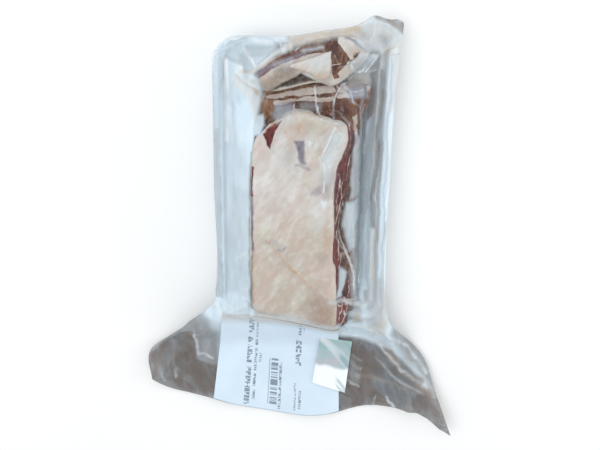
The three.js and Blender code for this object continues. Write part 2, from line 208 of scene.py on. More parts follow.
# Marks on the meat: what shows, where in plan, half width of a line (0 for a filled patch), softness and
# strength. A fat mark clears away the lean and the blood that are listed before it.
RED_WEDGE = [
    (-26.8, 41), (-22.4, 45.7), (-16.7, 49.6), (-13.5, 52.2), (-15.8, 49),
    (-19.6, 44), (-21, 39.5), (-22, 32), (-24.4, 33.9),
]
DIAGONAL = [(-23, -31), (-9.1, -48.9), (-4.9, -53.6), (7.7, -65.6), (19.5, -75)]
CAVITY = [(-23.2, 67), (-15.8, 72.1), (-6.7, 76.8), (-3.1, 79.2), (6.1, 73.9), (-3, 72.4), (-12.2, 70)]
SEAM = [(22, 16), (24.1, 7.8), (25.6, 0.2), (24.4, -10.6), (23.4, -16.4), (20.8, -22.1)]
MARKS = {
    "slab_front": [
        ("blood", RED_WEDGE, 0, 1, 1),
        ("blush", [(-33, 39), (-28, 40), (-24, 30), (-25, 20), (-34, 22)], 0, 3, 1),
        ("bruise", [(-7, 37.5), (0.6, 37.5), (0.5, 28.6), (1.8, 22.8), (-2, 21.8), (-4, 27)], 0, 1, 1),
        ("dark", [(-6.2, 36.8), (0, 36.8), (-0.4, 28), (-3.6, 28)], 0, 1.6, 0.28),
        ("bruise", [(-16, 34), (-8, 36), (-4, 24), (-2, 18), (-12, 20)], 0, 5, 0.22),
        ("bruise", [(-6, 20.6), (-2.8, 21.4), (0.5, 21), (3.6, 19.2)], 0.7, 0.9, 0.75),
        ("bruise", [(3.7, 1.8), (6.7, 5.8), (10.3, 8.4), (12.8, 7.9), (11.7, 3.4), (8.1, 0.5)], 0, 2, 0.65),
        ("bruise", [(10.3, 12.3), (18.6, 20), (20.1, 14.2), (18.7, -0.8), (11.8, -0.5)], 0, 3, 0.42),
        ("bruise", [(-16.4, -37.2), (-13.4, -38.2), (-11.2, -36.4)], 0.6, 1.2, 0.8),
        ("bruise", [(-24.6, -32.4), (-20.9, -31.4), (-14.2, -35.3)], 1, 2, 0.4),
        ("bruise", [(9, -42.1), (14.9, -40.5), (18.8, -44.8), (13.6, -47.6)], 0, 3, 0.35),
        ("bruise", [(-21.1, 34.8), (-19.9, 39.2), (-15.7, 44.9), (-11.6, 51.5)], 0.3, 1, 0.35),
        ("bruise", [
            (-21.1, 34.8), (-18, 28.2), (-13.1, 22), (-8.2, 14.5), (1.7, 9.6), (4.3, 5.7),
        ], 0.3, 1.4, 0.25),
        ("blood", [(-30.9, 37.9), (-26.6, 42.4), (-24.8, 37.6), (-28.9, 34.2)], 0, 2, 0.3),
        ("bruise", [(-15, 31), (-10, 30), (-14, 22), (-18, 22)], 0, 3.5, 0.2),
        ("orange", [(-3, 49), (-3.6, 44)], 0.7, 1.5, 0.7),
        ("orange", [(0.5, 49.4), (-2.5, 46.5)], 0.5, 1.2, 0.5),
        ("orange", [(-13.6, 44.5), (-10, 40.5)], 0.5, 1.5, 0.4),
        ("orange", DIAGONAL, 0.35, 0.8, 0.7),
        ("orange", [(-9, -49.2), (-5.2, -53.2)], 1, 0.8, 0.85),
        ("orange", [(15, -24), (15.8, -33)], 0.8, 2.5, 0.45),
        ("orange", [(18, -26), (18.6, -38)], 0.6, 1.5, 0.4),
        ("orange", [(-34.4, -44), (-34.2, -53), (-33, -62), (-33.4, -76)], 0.8, 1.4, 0.7),
        ("orange", [(-21, 46.5), (-15, 51), (-8, 54.6), (1, 55.2), (10, 52.2)], 0.5, 1.2, 0.45),
        ("tan", [(-38, -36), (-14, -28), (8, -20), (26, -16), (26, -101), (-38, -90)], 0, 12, 0.85),
        ("tan", [(-20, 47), (-4, 54), (22, 49), (10, 42), (-12, 42)], 0, 5, 0.7),
        # Faint purple grey over the lobe is painted shade that makes it darker and greyer.
        ("bruise", [(-20, 44), (-8, 50), (14, 46), (20, 36), (8, 30), (-8, 40), (-20, 36)], 0, 6, 0.12),
        ("tan", [(6, -72), (20, -80), (24, -82), (24, -98), (10, -94)], 0, 6, 1),
        ("pale", [(-33, 36), (-18, 32), (0, 16), (6, 0), (-12, -8), (-33, 2)], 0, 9, 0.55),
        ("pale", [(4, 14), (12, 8), (16, -14), (8, -22), (0, -12)], 0, 7, 0.35),
        ("orange", [(8, -70), (22, -78), (23, -96), (10, -90)], 0, 5, 0.35),
        ("dark", [(-2, -74), (12, -74), (22, -80), (23, -98), (8, -93), (-2, -90)], 0, 4, 0.13),
        ("bruise", [(6, -66), (22, -76), (23, -96), (8, -90)], 0, 6, 0.36),
        ("blush", [(-24, 8), (-4, 14), (6, -8), (-14, -18)], 0, 8, 0.7),
        ("blush", [(-28, 22), (-18, 20), (-20, 4), (-30, 2)], 0, 5, 0.6),
        ("blush", [(0, -44), (18, -46), (20, -70), (8, -62)], 0, 6, 0.8),
        ("blush", [(-30, -58), (-20, -56), (-22, -76), (-31, -78)], 0, 6, 0.5),
        ("blush", [(-14, -28), (0, -24), (6, -36), (-6, -40)], 0, 5, 0.5),
        # Left, right and far sides below the fat cap.
        ("blood", [(-33.8, 19), (-34.2, 0)], 0.9, 0.6, 0.9),
        ("bruise", [(-34, -2), (-34.2, -38)], 0.9, 0.7, 1),
        ("dark", [(-34.2, 0), (-34.2, -40), (-34, -82)], 0.7, 0.9, 0.5),
        ("lean", [(26.6, 46.5), (31.2, 41), (35, 34.2), (34, 28), (28, 33), (27.8, 41)], 0, 0.8, 1),
        ("blood", [
            (26.9, 27), (31.5, 27), (27.8, 15.2), (25.4, 10.8), (22.4, 15), (20.9, 8), (21.9, 21),
        ], 0, 1, 1),
        ("fat", [(33, 27), (30.6, 20), (29.2, 11), (28.4, -1), (26.8, -16)], 0.55, 0.5, 0.9),
        ("fat", SEAM, 0.5, 0.5, 0.75),
        ("blood", [(20.4, -27), (24.2, -33.7), (27.2, -46.7), (25.8, -54.2), (20.4, -47.2)], 0, 1.2, 1),
        ("fat", [(22.8, -28), (25, -40), (25.6, -50)], 0.4, 0.5, 0.8),
        ("blood", [(22.9, -50), (23.9, -62), (24.6, -76)], 0.5, 0.6, 0.9),
        ("blood", [(23.8, -79.3), (31.2, -82), (35, -90), (31, -98), (24.2, -101)], 0, 1.2, 0.9),
        ("fat", [(26.4, -92), (27, -87.8), (29.4, -87), (31.4, -92.6), (28.2, -98)], 0.5, 0.5, 0.9),
        ("fat", [(25, -81), (28, -83), (33, -84)], 0.4, 0.5, 0.8),
        ("dark", [(-6.5, 60), (4.8, 60), (4.8, 56.4), (-6.3, 56.6)], 0, 1.5, 0.3),
        ("bruise", [(-20.7, 57), (-8.4, 59), (-8.1, 56), (-14, 53.6), (-19.7, 51)], 0, 1.5, 0.8),
        ("dark", [(18, 60), (30, 60), (30, 50), (25.6, 49.6), (19, 52)], 0, 1.6, 0.2),
        ("orange", [(-29, 54), (-21.6, 55.6), (-21.3, 49.4), (-28.3, 47)], 0, 2, 0.5),
    ],
    "slab_middle": [
        ("orange", [
            (-27, 64), (-11.3, 66.2), (-1, 68.3), (7.4, 69.3), (8, 73), (-14, 72), (-28, 68),
        ], 0, 1.2, 0.6),
        ("fat", [
            (-25.6, 62.5), (-0.1, 68.3), (17, 70.3), (19.4, 65.6), (5.7, 64.2), (-24.5, 60.5),
        ], 0, 0.8, 1),
        ("lean", [(-24.5, 60), (-6.6, 62.6), (17, 63.9)], 0.4, 0.5, 0.6),
        ("fat", [
            (-21.4, 59.6), (-3.7, 62), (18, 63), (20, 59.2), (-3.7, 58.9), (-20.4, 56.8),
        ], 0, 0.8, 1),
        ("fat", [(20.9, 61.1), (18.4, 71.4), (26.2, 70.6), (32.2, 61.3)], 0, 1.5, 0.6),
        ("bruise", [(26.2, 71.4), (35.7, 72.3), (40.4, 68.9), (38.7, 62.4), (28.4, 62.2)], 0, 1.6, 0.75),
        ("fat", [(33, 73), (43, 72), (44, 63), (39, 66)], 0, 1.5, 0.5),
        ("dark", [(38.5, 68.9), (40.1, 64.3), (37, 57.7), (35.5, 49.8)], 0.6, 0.8, 0.9),
        ("fat", [(-31, 70), (-26, 66), (-27, 58.5), (-31, 57)], 0, 1.2, 0.7),
        ("orange", [(-29.5, 62), (-21, 57), (-21, 48), (-29, 46)], 0, 2, 0.55),
        ("tan", [(-32, 73), (-26, 73), (-24, 60), (-28, 46), (-33, 46)], 0, 2, 0.8),
        ("tan", [(-26, 73), (18, 74), (34, 73), (34, 58), (-24, 57)], 0, 3, 0.75),
        ("bruise", [(-20.7, 57), (-8.4, 59), (-8.1, 53), (-19.7, 50)], 0, 2, 0.8),
        ("dark", [(-6.5, 59), (4.8, 58.6), (4.8, 53), (-6.3, 53)], 0, 1.5, 0.3),
        ("dark", [(18, 60), (30, 60), (30, 48), (17.8, 50)], 0, 2, 0.2),
        ("orange", [(27, 60), (35, 60), (35, 48), (28, 48)], 0, 2, 0.2),
        ("blood", [(20, 60), (35, 60), (34, 49), (20, 50)], 0, 2.5, 0.55),
        ("lean", [(17, 60), (36, 60), (36, 48), (17, 49)], 0, 1.5, 1),
        ("fat", [(23.9, -26.8), (26.4, -36.4), (30, -45.6), (35.9, -60.6), (37.4, -74)], 0.7, 0.6, 0.9),
        ("blood", [(30.8, -66), (36.2, -65), (37.2, -74.6), (35.1, -83.1), (28.7, -79.5)], 0, 1.2, 0.7),
        ("fat", [(32, -66), (33.6, -74), (32, -82)], 0.5, 0.5, 0.7),
        ("fat", [(31, 50), (33, 20), (34.5, 18), (34, 52)], 0, 1.5, 0.8),
    ],
    "slab_back": [
        ("lean", [
            (-36, 76), (-24, 85), (-15, 91.5), (-7, 96), (1, 100), (8, 103), (20, 104), (19.2, 95.4),
            (13.9, 93.1), (1.3, 91.1), (-8.6, 87.8), (-16.7, 84.5), (-25.8, 78.9), (-30.4, 75.5),
        ], 0, 0.8, 1),
        ("bruise", [(-31, 77), (-21.3, 83.5), (-14.9, 86.8), (-8.6, 89.2), (-0.5, 92)], 1.3, 1.6, 0.8),
        ("dark", [(-12, 92.6), (-3.4, 95.4), (4.6, 98.6), (15, 100)], 0.8, 0.9, 0.6),
        ("lean", [
            (14.7, 96.7), (20, 98.5), (23.8, 93.2), (26.8, 88.6), (24.3, 83.1), (19.9, 79.3),
            (21.8, 76.5), (18.2, 75.5), (16.1, 81.1), (15, 88.8),
        ], 0, 0.9, 1),
        ("fat", [(15.8, 84.9), (20.3, 85.4), (25.6, 87.3)], 0.3, 0.4, 0.7),
        ("fat", [(17, 92), (20, 86), (24, 82)], 0.25, 0.4, 0.6),
        ("bruise", [(24.4, 101.6), (29.9, 100), (33.6, 96.4), (39, 93.6)], 0.9, 0.9, 1),
        ("orange", [(-20, 90), (-14, 92.5), (-9, 94)], 0.9, 1, 0.6),
        # Painted shade in the hollow under the flap.
        ("dark", CAVITY, 0, 1.1, 0.95),
        ("orange", [(-12, 71), (-4, 73), (3, 74)], 0.6, 1.2, 0.6),
        ("tan", [(-33, 72), (-16.7, 84), (-8, 86), (-4, 80), (-15.8, 70), (-23.2, 66)], 0, 2.5, 1),
        ("dark", [(-30, 72), (-17, 81), (-8, 83), (-5, 79), (-15.8, 71), (-23.2, 67)], 0, 3, 0.39),
        ("orange", [(-28, 72), (-20, 74), (-16, 77)], 0.8, 2, 0.35),
        ("blush", [(24, 97), (32, 95), (34, 90), (27, 90)], 0, 3, 0.7),
        ("lean", [(24, 98), (33, 97), (37, 90), (30, 84), (24, 82)], 0, 4, 0.36),
        ("lean", [(-30, 73), (-14, 83), (-8, 82), (-18, 72)], 0, 4, 0.2),
        ("bruise", [(-22, 80), (-6, 88), (-2, 86), (-10, 81)], 0, 2, 0.45),
        ("tan", [(24, 90), (36, 88), (38, 94), (28, 98), (23, 98)], 0, 3, 0.6),
        ("tan", [(14, 74), (28, 78), (34, 86), (26, 84), (18, 78)], 0, 3, 0.7),
    ],
    "fat_flap": [
        ("tan", [(-8, 83), (2, 78.6), (8, 75), (15, 77), (13.4, 81), (3.3, 81)], 0, 1.8, 0.9),
        ("orange", [(-8, 82.5), (2, 79.2), (8, 77), (14, 78)], 0.6, 1.6, 0.4),
        ("pale", [(-2, 87), (10, 91), (14.6, 92), (14, 83), (4, 83)], 0, 2.5, 0.5),
    ],
}
# Dark marks are painted shade, most of them in the hollow under the flap, in grooves and along edges.
MARK_KINDS = ("lean", "blood", "bruise", "tan", "pale", "blush", "orange", "dark")
# How far the edges of the marks stray, where along y the front slab's lean turns brown and the middle slab's
# thin layers set in, and the seam of fat in a slab's side.
MARK_STRAY = {"slab_front": 1.5, "slab_middle": 1.1, "slab_back": 1.1, "fat_flap": 1.1}
FRONT_BROWNED = (42, 50)
MIDDLE_LAYERED = (54, 60)
SIDE_SEAM = {"depth": 9, "wander": 5, "width": 1.2}

# Fields of the film: where in plan, half width of a line (0 for a filled patch), softness, and how strongly
# each kind shows there.
# The smoky tint darkens the skirt's film, and on the tray's walls, rim and edges it is painted shade; shine
# is painted highlight.
FILM_KINDS = ("haze", "smoke", "juice", "shine")
FAR_LIP = [(-12, 101), (12, 106), (34, 110), (36, 103), (20, 101.5), (0, 98), (-12, 94)]
RIGHT_TRACK = [(49.6, -30), (52.6, -30), (54.8, -92), (52, -90), (50.5, -70)]
FILM_FIELDS = [
    # Left wall, with painted shade on the wall, the rim and the channel, and a painted highlight on the
    # wall.
    ([
        (-57, -92), (-58, 60), (-54, 86), (-40, 82), (-35, 58), (-35, 20), (-36, -40), (-35, -80),
    ], 0, 2, {"haze": 0.95}),
    ([(-54.6, 88), (-51.4, 86), (-51.6, 30), (-54, 30)], 0, 1.2, {"shine": 0.65}),
    ([(-36.4, 60.9), (-34.6, 55.9), (-32.5, 52)], 0.4, 0.9, {"juice": 0.8}),
    ([(-33.5, 50), (-28.2, 51.5), (-25.8, 46.8), (-29, 41), (-34, 38)], 0, 1.2, {"haze": 0.75}),
    ([(-38, 60), (-33, 56), (-32.4, 40), (-34.4, 28), (-38, 28)], 0, 1.2, {"haze": 0.92}),
    ([(-62, -20), (-62, 88), (-48, 92), (-46, -20)], 0, 5, {"smoke": 0.2}),
    ([(-56, 4), (-28, 0), (-28, -80), (-56, -80)], 0, 5, {"smoke": 0.23}),
    ([(-68, 40), (-56.8, 40), (-56.8, -84), (-68, -84)], 0, 1.6, {"smoke": 0.4}),
    ([(-68, 80), (-56, 80), (-56, -88), (-68, -88)], 0, 1.6, {"haze": 0.65}),
    ([(-62, 86), (-61.4, 40), (-61.4, -84)], 1, 1, {"smoke": 0.4}),
    # Painted shadow line along the front slab's left foot.
    ([(-34.7, 18), (-35.2, 0), (-35.2, -34), (-35, -82)], 0.3, 0.6, {"smoke": 0.55}),
    ([(-35.2, -34), (-35, -82)], 0.3, 0.6, {"juice": 0.4}),
    ([(-52, -95), (-52, 36), (-36, 16), (-36, -90)], 0, 8, {"smoke": 0.12}),
    # Far left corner, with painted shade on the film's facets and painted highlights on its folds.
    ([
        (-60, 72), (-61, 88), (-50, 101), (-26, 102), (-18, 93), (-30, 83), (-36, 74), (-46, 70),
    ], 0, 3, {"haze": 0.7}),
    ([(-46, 86), (-40, 93), (-33, 82), (-38, 74)], 0, 0.6, {"smoke": 0.14}),
    ([(-44, 95), (-22, 94), (-14, 93), (-24, 88), (-36, 88)], 0, 0.8, {"smoke": 0.16}),
    ([(-45.4, 98.7), (-38.7, 100.3), (-35.8, 98.6), (-37.1, 96.6), (-43.9, 96.2)], 0, 0.5, {"smoke": 0.22}),
    ([(-40.5, 93), (-36.7, 87.9), (-32.9, 82.4)], 0.5, 0.5, {"shine": 1}),
    ([
        (-35.8, 99), (-27.6, 98.4), (-21.4, 97.2), (-22, 95.2), (-31.6, 95.7), (-36.4, 97),
    ], 0, 1, {"shine": 0.7}),
    ([(-52.8, 95.1), (-50.1, 97.4), (-45.4, 99), (-38.7, 100.3)], 0.5, 0.6, {"shine": 0.9}),
    ([(-45.7, 79.7), (-42.5, 84.2), (-41.3, 78.6), (-44.5, 76.9)], 0, 1, {"shine": 0.6}),
    ([(-32.4, 85.1), (-26.2, 88.7), (-21, 91.8)], 0.3, 0.7, {"shine": 0.6}),
    ([(-61, 86), (-61.3, 62)], 0.3, 0.8, {"shine": 0.7}),
    ([(-61, 88.5), (-52, 97), (-37, 101), (-37, 98), (-53, 92), (-55, 88)], 0, 0.8, {"smoke": 0.3}),
    ([
        (-47.5, 67.5), (-46, 74), (-41, 76), (-33, 76), (-29, 71), (-27, 64), (-28, 56), (-30, 47),
        (-33, 48), (-37, 58.5), (-42, 64.5),
    ], 0, 1.6, {"juice": 0.3}),
    ([(-47, 68), (-45, 73), (-38, 66), (-34, 52), (-37, 58.5), (-42, 64.5)], 0, 2, {"shine": 0.3}),
    ([
        (-48, 68), (-46.5, 76), (-42, 79), (-35, 80), (-31, 76), (-28.6, 70), (-27.6, 64), (-30.2, 56),
        (-31.6, 45), (-34, 45), (-37.5, 58), (-42, 64.5),
    ], 0, 2.2, {"haze": 0.9}),
    ([(-46.2, 74.4), (-39.7, 70), (-34.3, 67), (-29.6, 63.7)], 0.5, 1, {"juice": 0.85}),
    ([(-35.4, 69.4), (-30.6, 68.3), (-28.5, 62.7), (-33.2, 64)], 0, 1.8, {"juice": 0.9}),
    ([(-33.4, 68), (-30.6, 67), (-28.9, 63.4), (-32, 64.6)], 0, 1.6, {"smoke": 0.35}),
    ([(-47.3, 67.8), (-47.4, 70), (-45.4, 72)], 0.3, 0.6, {"juice": 0.8}),
    ([(-42.6, 77.8), (-35.1, 79.6), (-28.1, 83.6), (-22.4, 87.1), (-16, 92.4)], 0.8, 1.6, {"juice": 0.8}),
    ([(-38, 77.6), (-28.1, 84.4), (-18, 91.6), (-10, 95.6)], 1.8, 1.6, {"haze": 0.85}),
    # Far rim.
    ([(-1, 88), (10, 92), (15, 92), (14, 81), (5, 80)], 0, 3, {"haze": 0.2}),
    (FAR_LIP, 0, 4, {"juice": 0.95}),
    ([(-13.2, 99.2), (-12.4, 96.2), (-11.1, 92.9)], 0.4, 0.7, {"juice": 0.9, "smoke": 0.35}),
    (FAR_LIP, 0, 2, {"haze": 0.6}),
    ([(-2, 94), (10, 96.6)], 1, 1.5, {"haze": 0.5}),
    ([(-20, 84), (-9, 89)], 0.7, 1.4, {"haze": 0.35}),
    # Far right corner and the ear.
    ([
        (28.4, 103), (41.9, 115), (51, 114), (66, 107), (64, 98), (50, 90.5), (37, 93.5), (31.4, 98),
    ], 0, 2.5, {"haze": 0.62, "juice": 0.16}),
    ([(44, 112), (52, 111), (62, 103), (52, 96), (46, 98)], 0, 1, {"smoke": 0.12}),
    ([(34, 93), (46, 89.5), (38.5, 79), (30, 79), (28, 85)], 0, 1, {"haze": 0.55}),
    ([(44, 91), (38.5, 80), (35, 84)], 0, 1.5, {"shine": 0.25}),
    ([(26, 79), (42, 80), (43, 70), (27, 70)], 0, 2, {"haze": 0.55}),
    ([(20, 87), (38, 89), (45, 82), (43, 69), (24, 69)], 0, 4, {"smoke": 0.5}),
    ([(24, 79), (42, 81), (43, 70), (26, 69)], 0, 3, {"juice": 0.45}),
    ([
        (41, 117), (53, 115.5), (68, 108), (66, 99), (62.5, 103.5), (51.3, 110.2), (43, 112.6),
    ], 0, 0.7, {"haze": 0.85, "smoke": 0.88}),
    ([(22, 72), (31, 80), (36, 92), (47, 90), (44, 80), (36, 74), (30, 68)], 0, 3, {"haze": 0.4}),
    ([(53, 90), (66, 93), (66, 54), (55, 54)], 0, 5, {"juice": 0.34}),
    ([(20, 67), (28, 72), (38, 72), (40, 63), (29, 62)], 0, 2, {"haze": 0.35}),
    # Right wall, with painted shade on the wall, the step and the rim, and a painted shadow line by the
    # middle slab's right edge.
    ([(29, -8), (37, -8), (37.3, -43), (32.8, -45), (26, -25)], 0, 2, {"haze": 0.8, "smoke": 0.3}),
    ([(33, 42), (36.8, 34), (37.2, -6), (31, -6), (32.4, 20)], 0, 1.6, {"haze": 0.85, "smoke": 0.52}),
    ([(25, -52), (31, -59), (27.6, -76), (24.6, -74)], 0, 1.2, {"haze": 0.7}),
    ([(37, -30), (39, -60), (41, -90), (36, -84), (33, -62), (34, -46)], 0, 2.5, {"haze": 0.35}),
    ([(48, -70), (60, -64), (62, -98), (50, -100)], 0, 4, {"smoke": 0.1}),
    ([(40.4, 46), (46, 50), (46, -34), (40.8, -34)], 0, 2, {"haze": 0.55}),
    ([(40.6, -22), (47.4, -14), (48, -78), (41, -74)], 0, 4, {"haze": 0.74}),
    # Painted shade in the step of the tray's right side.
    ([(50.6, 78), (50, 59), (48.9, 25), (48.4, -11), (48.6, -30)], 1.8, 1, {"haze": 0.8, "smoke": 0.78}),
    ([(39, 60), (49, 60), (48, -16), (41, -16)], 0, 6, {"smoke": 0.2}),
    ([(50.2, 84), (53, 84), (53, -30), (51, -60)], 0, 1, {"smoke": 0.45, "haze": 0.45}),
    (RIGHT_TRACK, 0, 1.6, {"juice": 0.5}),
    (RIGHT_TRACK, 0, 1.8, {"haze": 0.75}),
    ([
        (41.7, -68.3), (45.9, -70.4), (49, -74), (49.3, -80.9), (48.2, -86.5), (44.8, -87.2),
        (42.2, -83.5),
    ], 0, 1.6, {"haze": 0.85}),
    ([(46.2, -79.2), (48.6, -79), (48.2, -85.9), (45.2, -86.2)], 0, 2, {"smoke": 0.5}),
    ([(53.4, -24), (58, -24), (60.6, -96), (56, -92), (54.6, -70)], 0, 1.8, {"smoke": 0.34}),
    ([(53, 84), (56.4, 84), (56.4, -30), (53.2, -30)], 0, 1.2, {"smoke": 0.22}),
    ([(56, -60), (63, -60), (63, -100), (57, -98)], 0, 3, {"juice": 0.26}),
    ([(19.2, -74.5), (25.7, -77.8), (33.8, -82.6), (42.2, -86.5)], 1.3, 1.3, {"haze": 0.55, "juice": 0.35}),
    ([
        (55.6, 90), (64, 90), (63, 20), (64, -100), (58, -98), (56.4, -60), (55.4, 10),
    ], 0, 1, {"haze": 0.97}),
    # Painted shadow line along the middle slab's right edge.
    ([
        (38.5, 67.7), (36.2, 55.9), (37.4, 26.9), (38.4, -2.7), (38.4, -20.5), (37.9, -38.3),
    ], 0.4, 0.6, {"haze": 0.7, "smoke": 0.9}),
    # Film over the meat, with painted glints.
    ([(-22, 53), (-12, 58), (-5, 56), (-9, 51), (-18, 49)], 0, 3, {"haze": 0.35}),
    ([(25, 44), (16, 46), (11, 26), (12, 8), (16, 8), (20, 20), (24, 33)], 0, 2.5, {"haze": 0.4}),
    ([(24, 40.6), (19.4, 45), (12.4, 28), (14.6, 23), (22, 32.6)], 0, 1.6, {"haze": 0.4}),
    ([(10.8, -2), (15.6, -2.3), (15.6, -4.3), (12.8, -7.8)], 0, 0.8, {"haze": 0.6, "shine": 0.6}),
    ([(1.8, 37.9), (5.4, 37.4), (4.3, 33.9)], 0, 0.7, {"haze": 0.5, "shine": 0.5}),
    ([(-4, 60), (10, 60), (10, 55.5), (-4, 56)], 0, 1.5, {"haze": 0.22}),
    ([(-20, 58), (-8, 59), (-7, 55), (-19, 51)], 0, 2, {"haze": 0.3}),
    # Near lip and corners, with painted shade below the meat's near end.
    ([
        (-62, -76), (-36, -80), (-34, -92), (-56, -110), (-66, -107), (-76, -98), (-66, -86),
    ], 0, 5, {"haze": 0.92}),
    ([
        (30, -101), (44, -90), (57, -86), (63, -102), (76, -122), (60, -127), (46, -119), (32, -116),
    ], 0, 4, {"haze": 0.8}),
    ([(36, -89), (41.5, -91), (44, -102), (38, -101.5)], 0, 2, {"haze": 0.65, "smoke": 0.6, "juice": 0.4}),
    ([(44, -72), (60, -66), (63, -100), (48, -104), (41, -92)], 0, 4, {"haze": 0.75}),
    ([(46, -74), (57, -70), (60, -100), (48, -102)], 0, 4, {"juice": 0.14}),
    ([(45.5, -90.1), (56.2, -88.6), (55.5, -100.9), (48.5, -107)], 0, 2.5, {"haze": 0.85}),
    ([(46, -90), (62, -84), (63, -104), (50, -106)], 0, 4, {"smoke": 0.36}),
    ([(48.4, -106), (55.4, -98.4), (62.1, -98), (61.2, -110.9), (53.5, -117.5)], 0, 2.5, {"juice": 0.45}),
    ([(49, -93), (55, -93), (55, -101), (49, -102)], 0, 2.5, {"smoke": 0.25}),
    ([
        (-38, -83.5), (-28, -85), (-8, -86), (9.6, -92), (26, -95.5), (28, -108), (0, -103), (-38, -97),
    ], 0, 3.2, {"haze": 0.97}),
    # Painted shade below the meat's near end, drawn in juice and smoky tint under the milky film.
    ([
        (-34, -83.5), (-8, -86), (9.6, -92), (25, -95.5), (26, -108), (0, -103), (-33, -97),
    ], 0, 2.5, {"juice": 0.5, "smoke": 0.16}),
    # Skirt.
    ([
        (-74, -94), (-66, -106), (-61, -116), (-58, -200), (-130, -200), (-130, -120), (-90, -96),
    ], 0, 5, {"smoke": 0.72}),
    ([
        (-86.7, -114.5), (-81, -113.5), (-77, -113), (-77.7, -141.4), (-66.9, -145.2), (-56, -150),
        (-56, -200), (-130, -200), (-124, -150), (-116, -137.7), (-98.6, -122),
    ], 0, 3, {"smoke": 1}),
    ([
        (65, -111), (69, -104), (90, -126), (104, -150), (130, -210), (94, -154), (77, -136), (71, -125),
    ], 0, 3.5, {"smoke": 0.7}),
    ([(84, -120), (94, -132), (108, -154), (128, -206), (112, -176), (97, -146)], 0, 3, {"smoke": 0.75}),
    ([(58, -122), (66, -131), (74, -142)], 1.4, 2, {"juice": 0.35}),
    ([(76, -146), (90, -157), (102, -168)], 1.2, 2.5, {"juice": 0.3}),
    ([
        (25, -119.5), (38.7, -120.6), (51, -125), (60, -129.5), (68, -129.5), (77, -137), (86, -147),
        (94, -154.5), (103, -163.5), (114, -178), (126, -206), (25, -206),
    ], 0, 2.5, {"smoke": 1}),
    ([(65.6, -129.4), (73.3, -141.1)], 0.7, 1.2, {"juice": 0.5}),
    ([(64.6, -133.4), (70.9, -143.6)], 0.5, 1, {"juice": 0.5}),
    ([(47.3, -155.4), (69, -159.9), (93, -164.1)], 1.2, 2.5, {"juice": 0.25}),
]
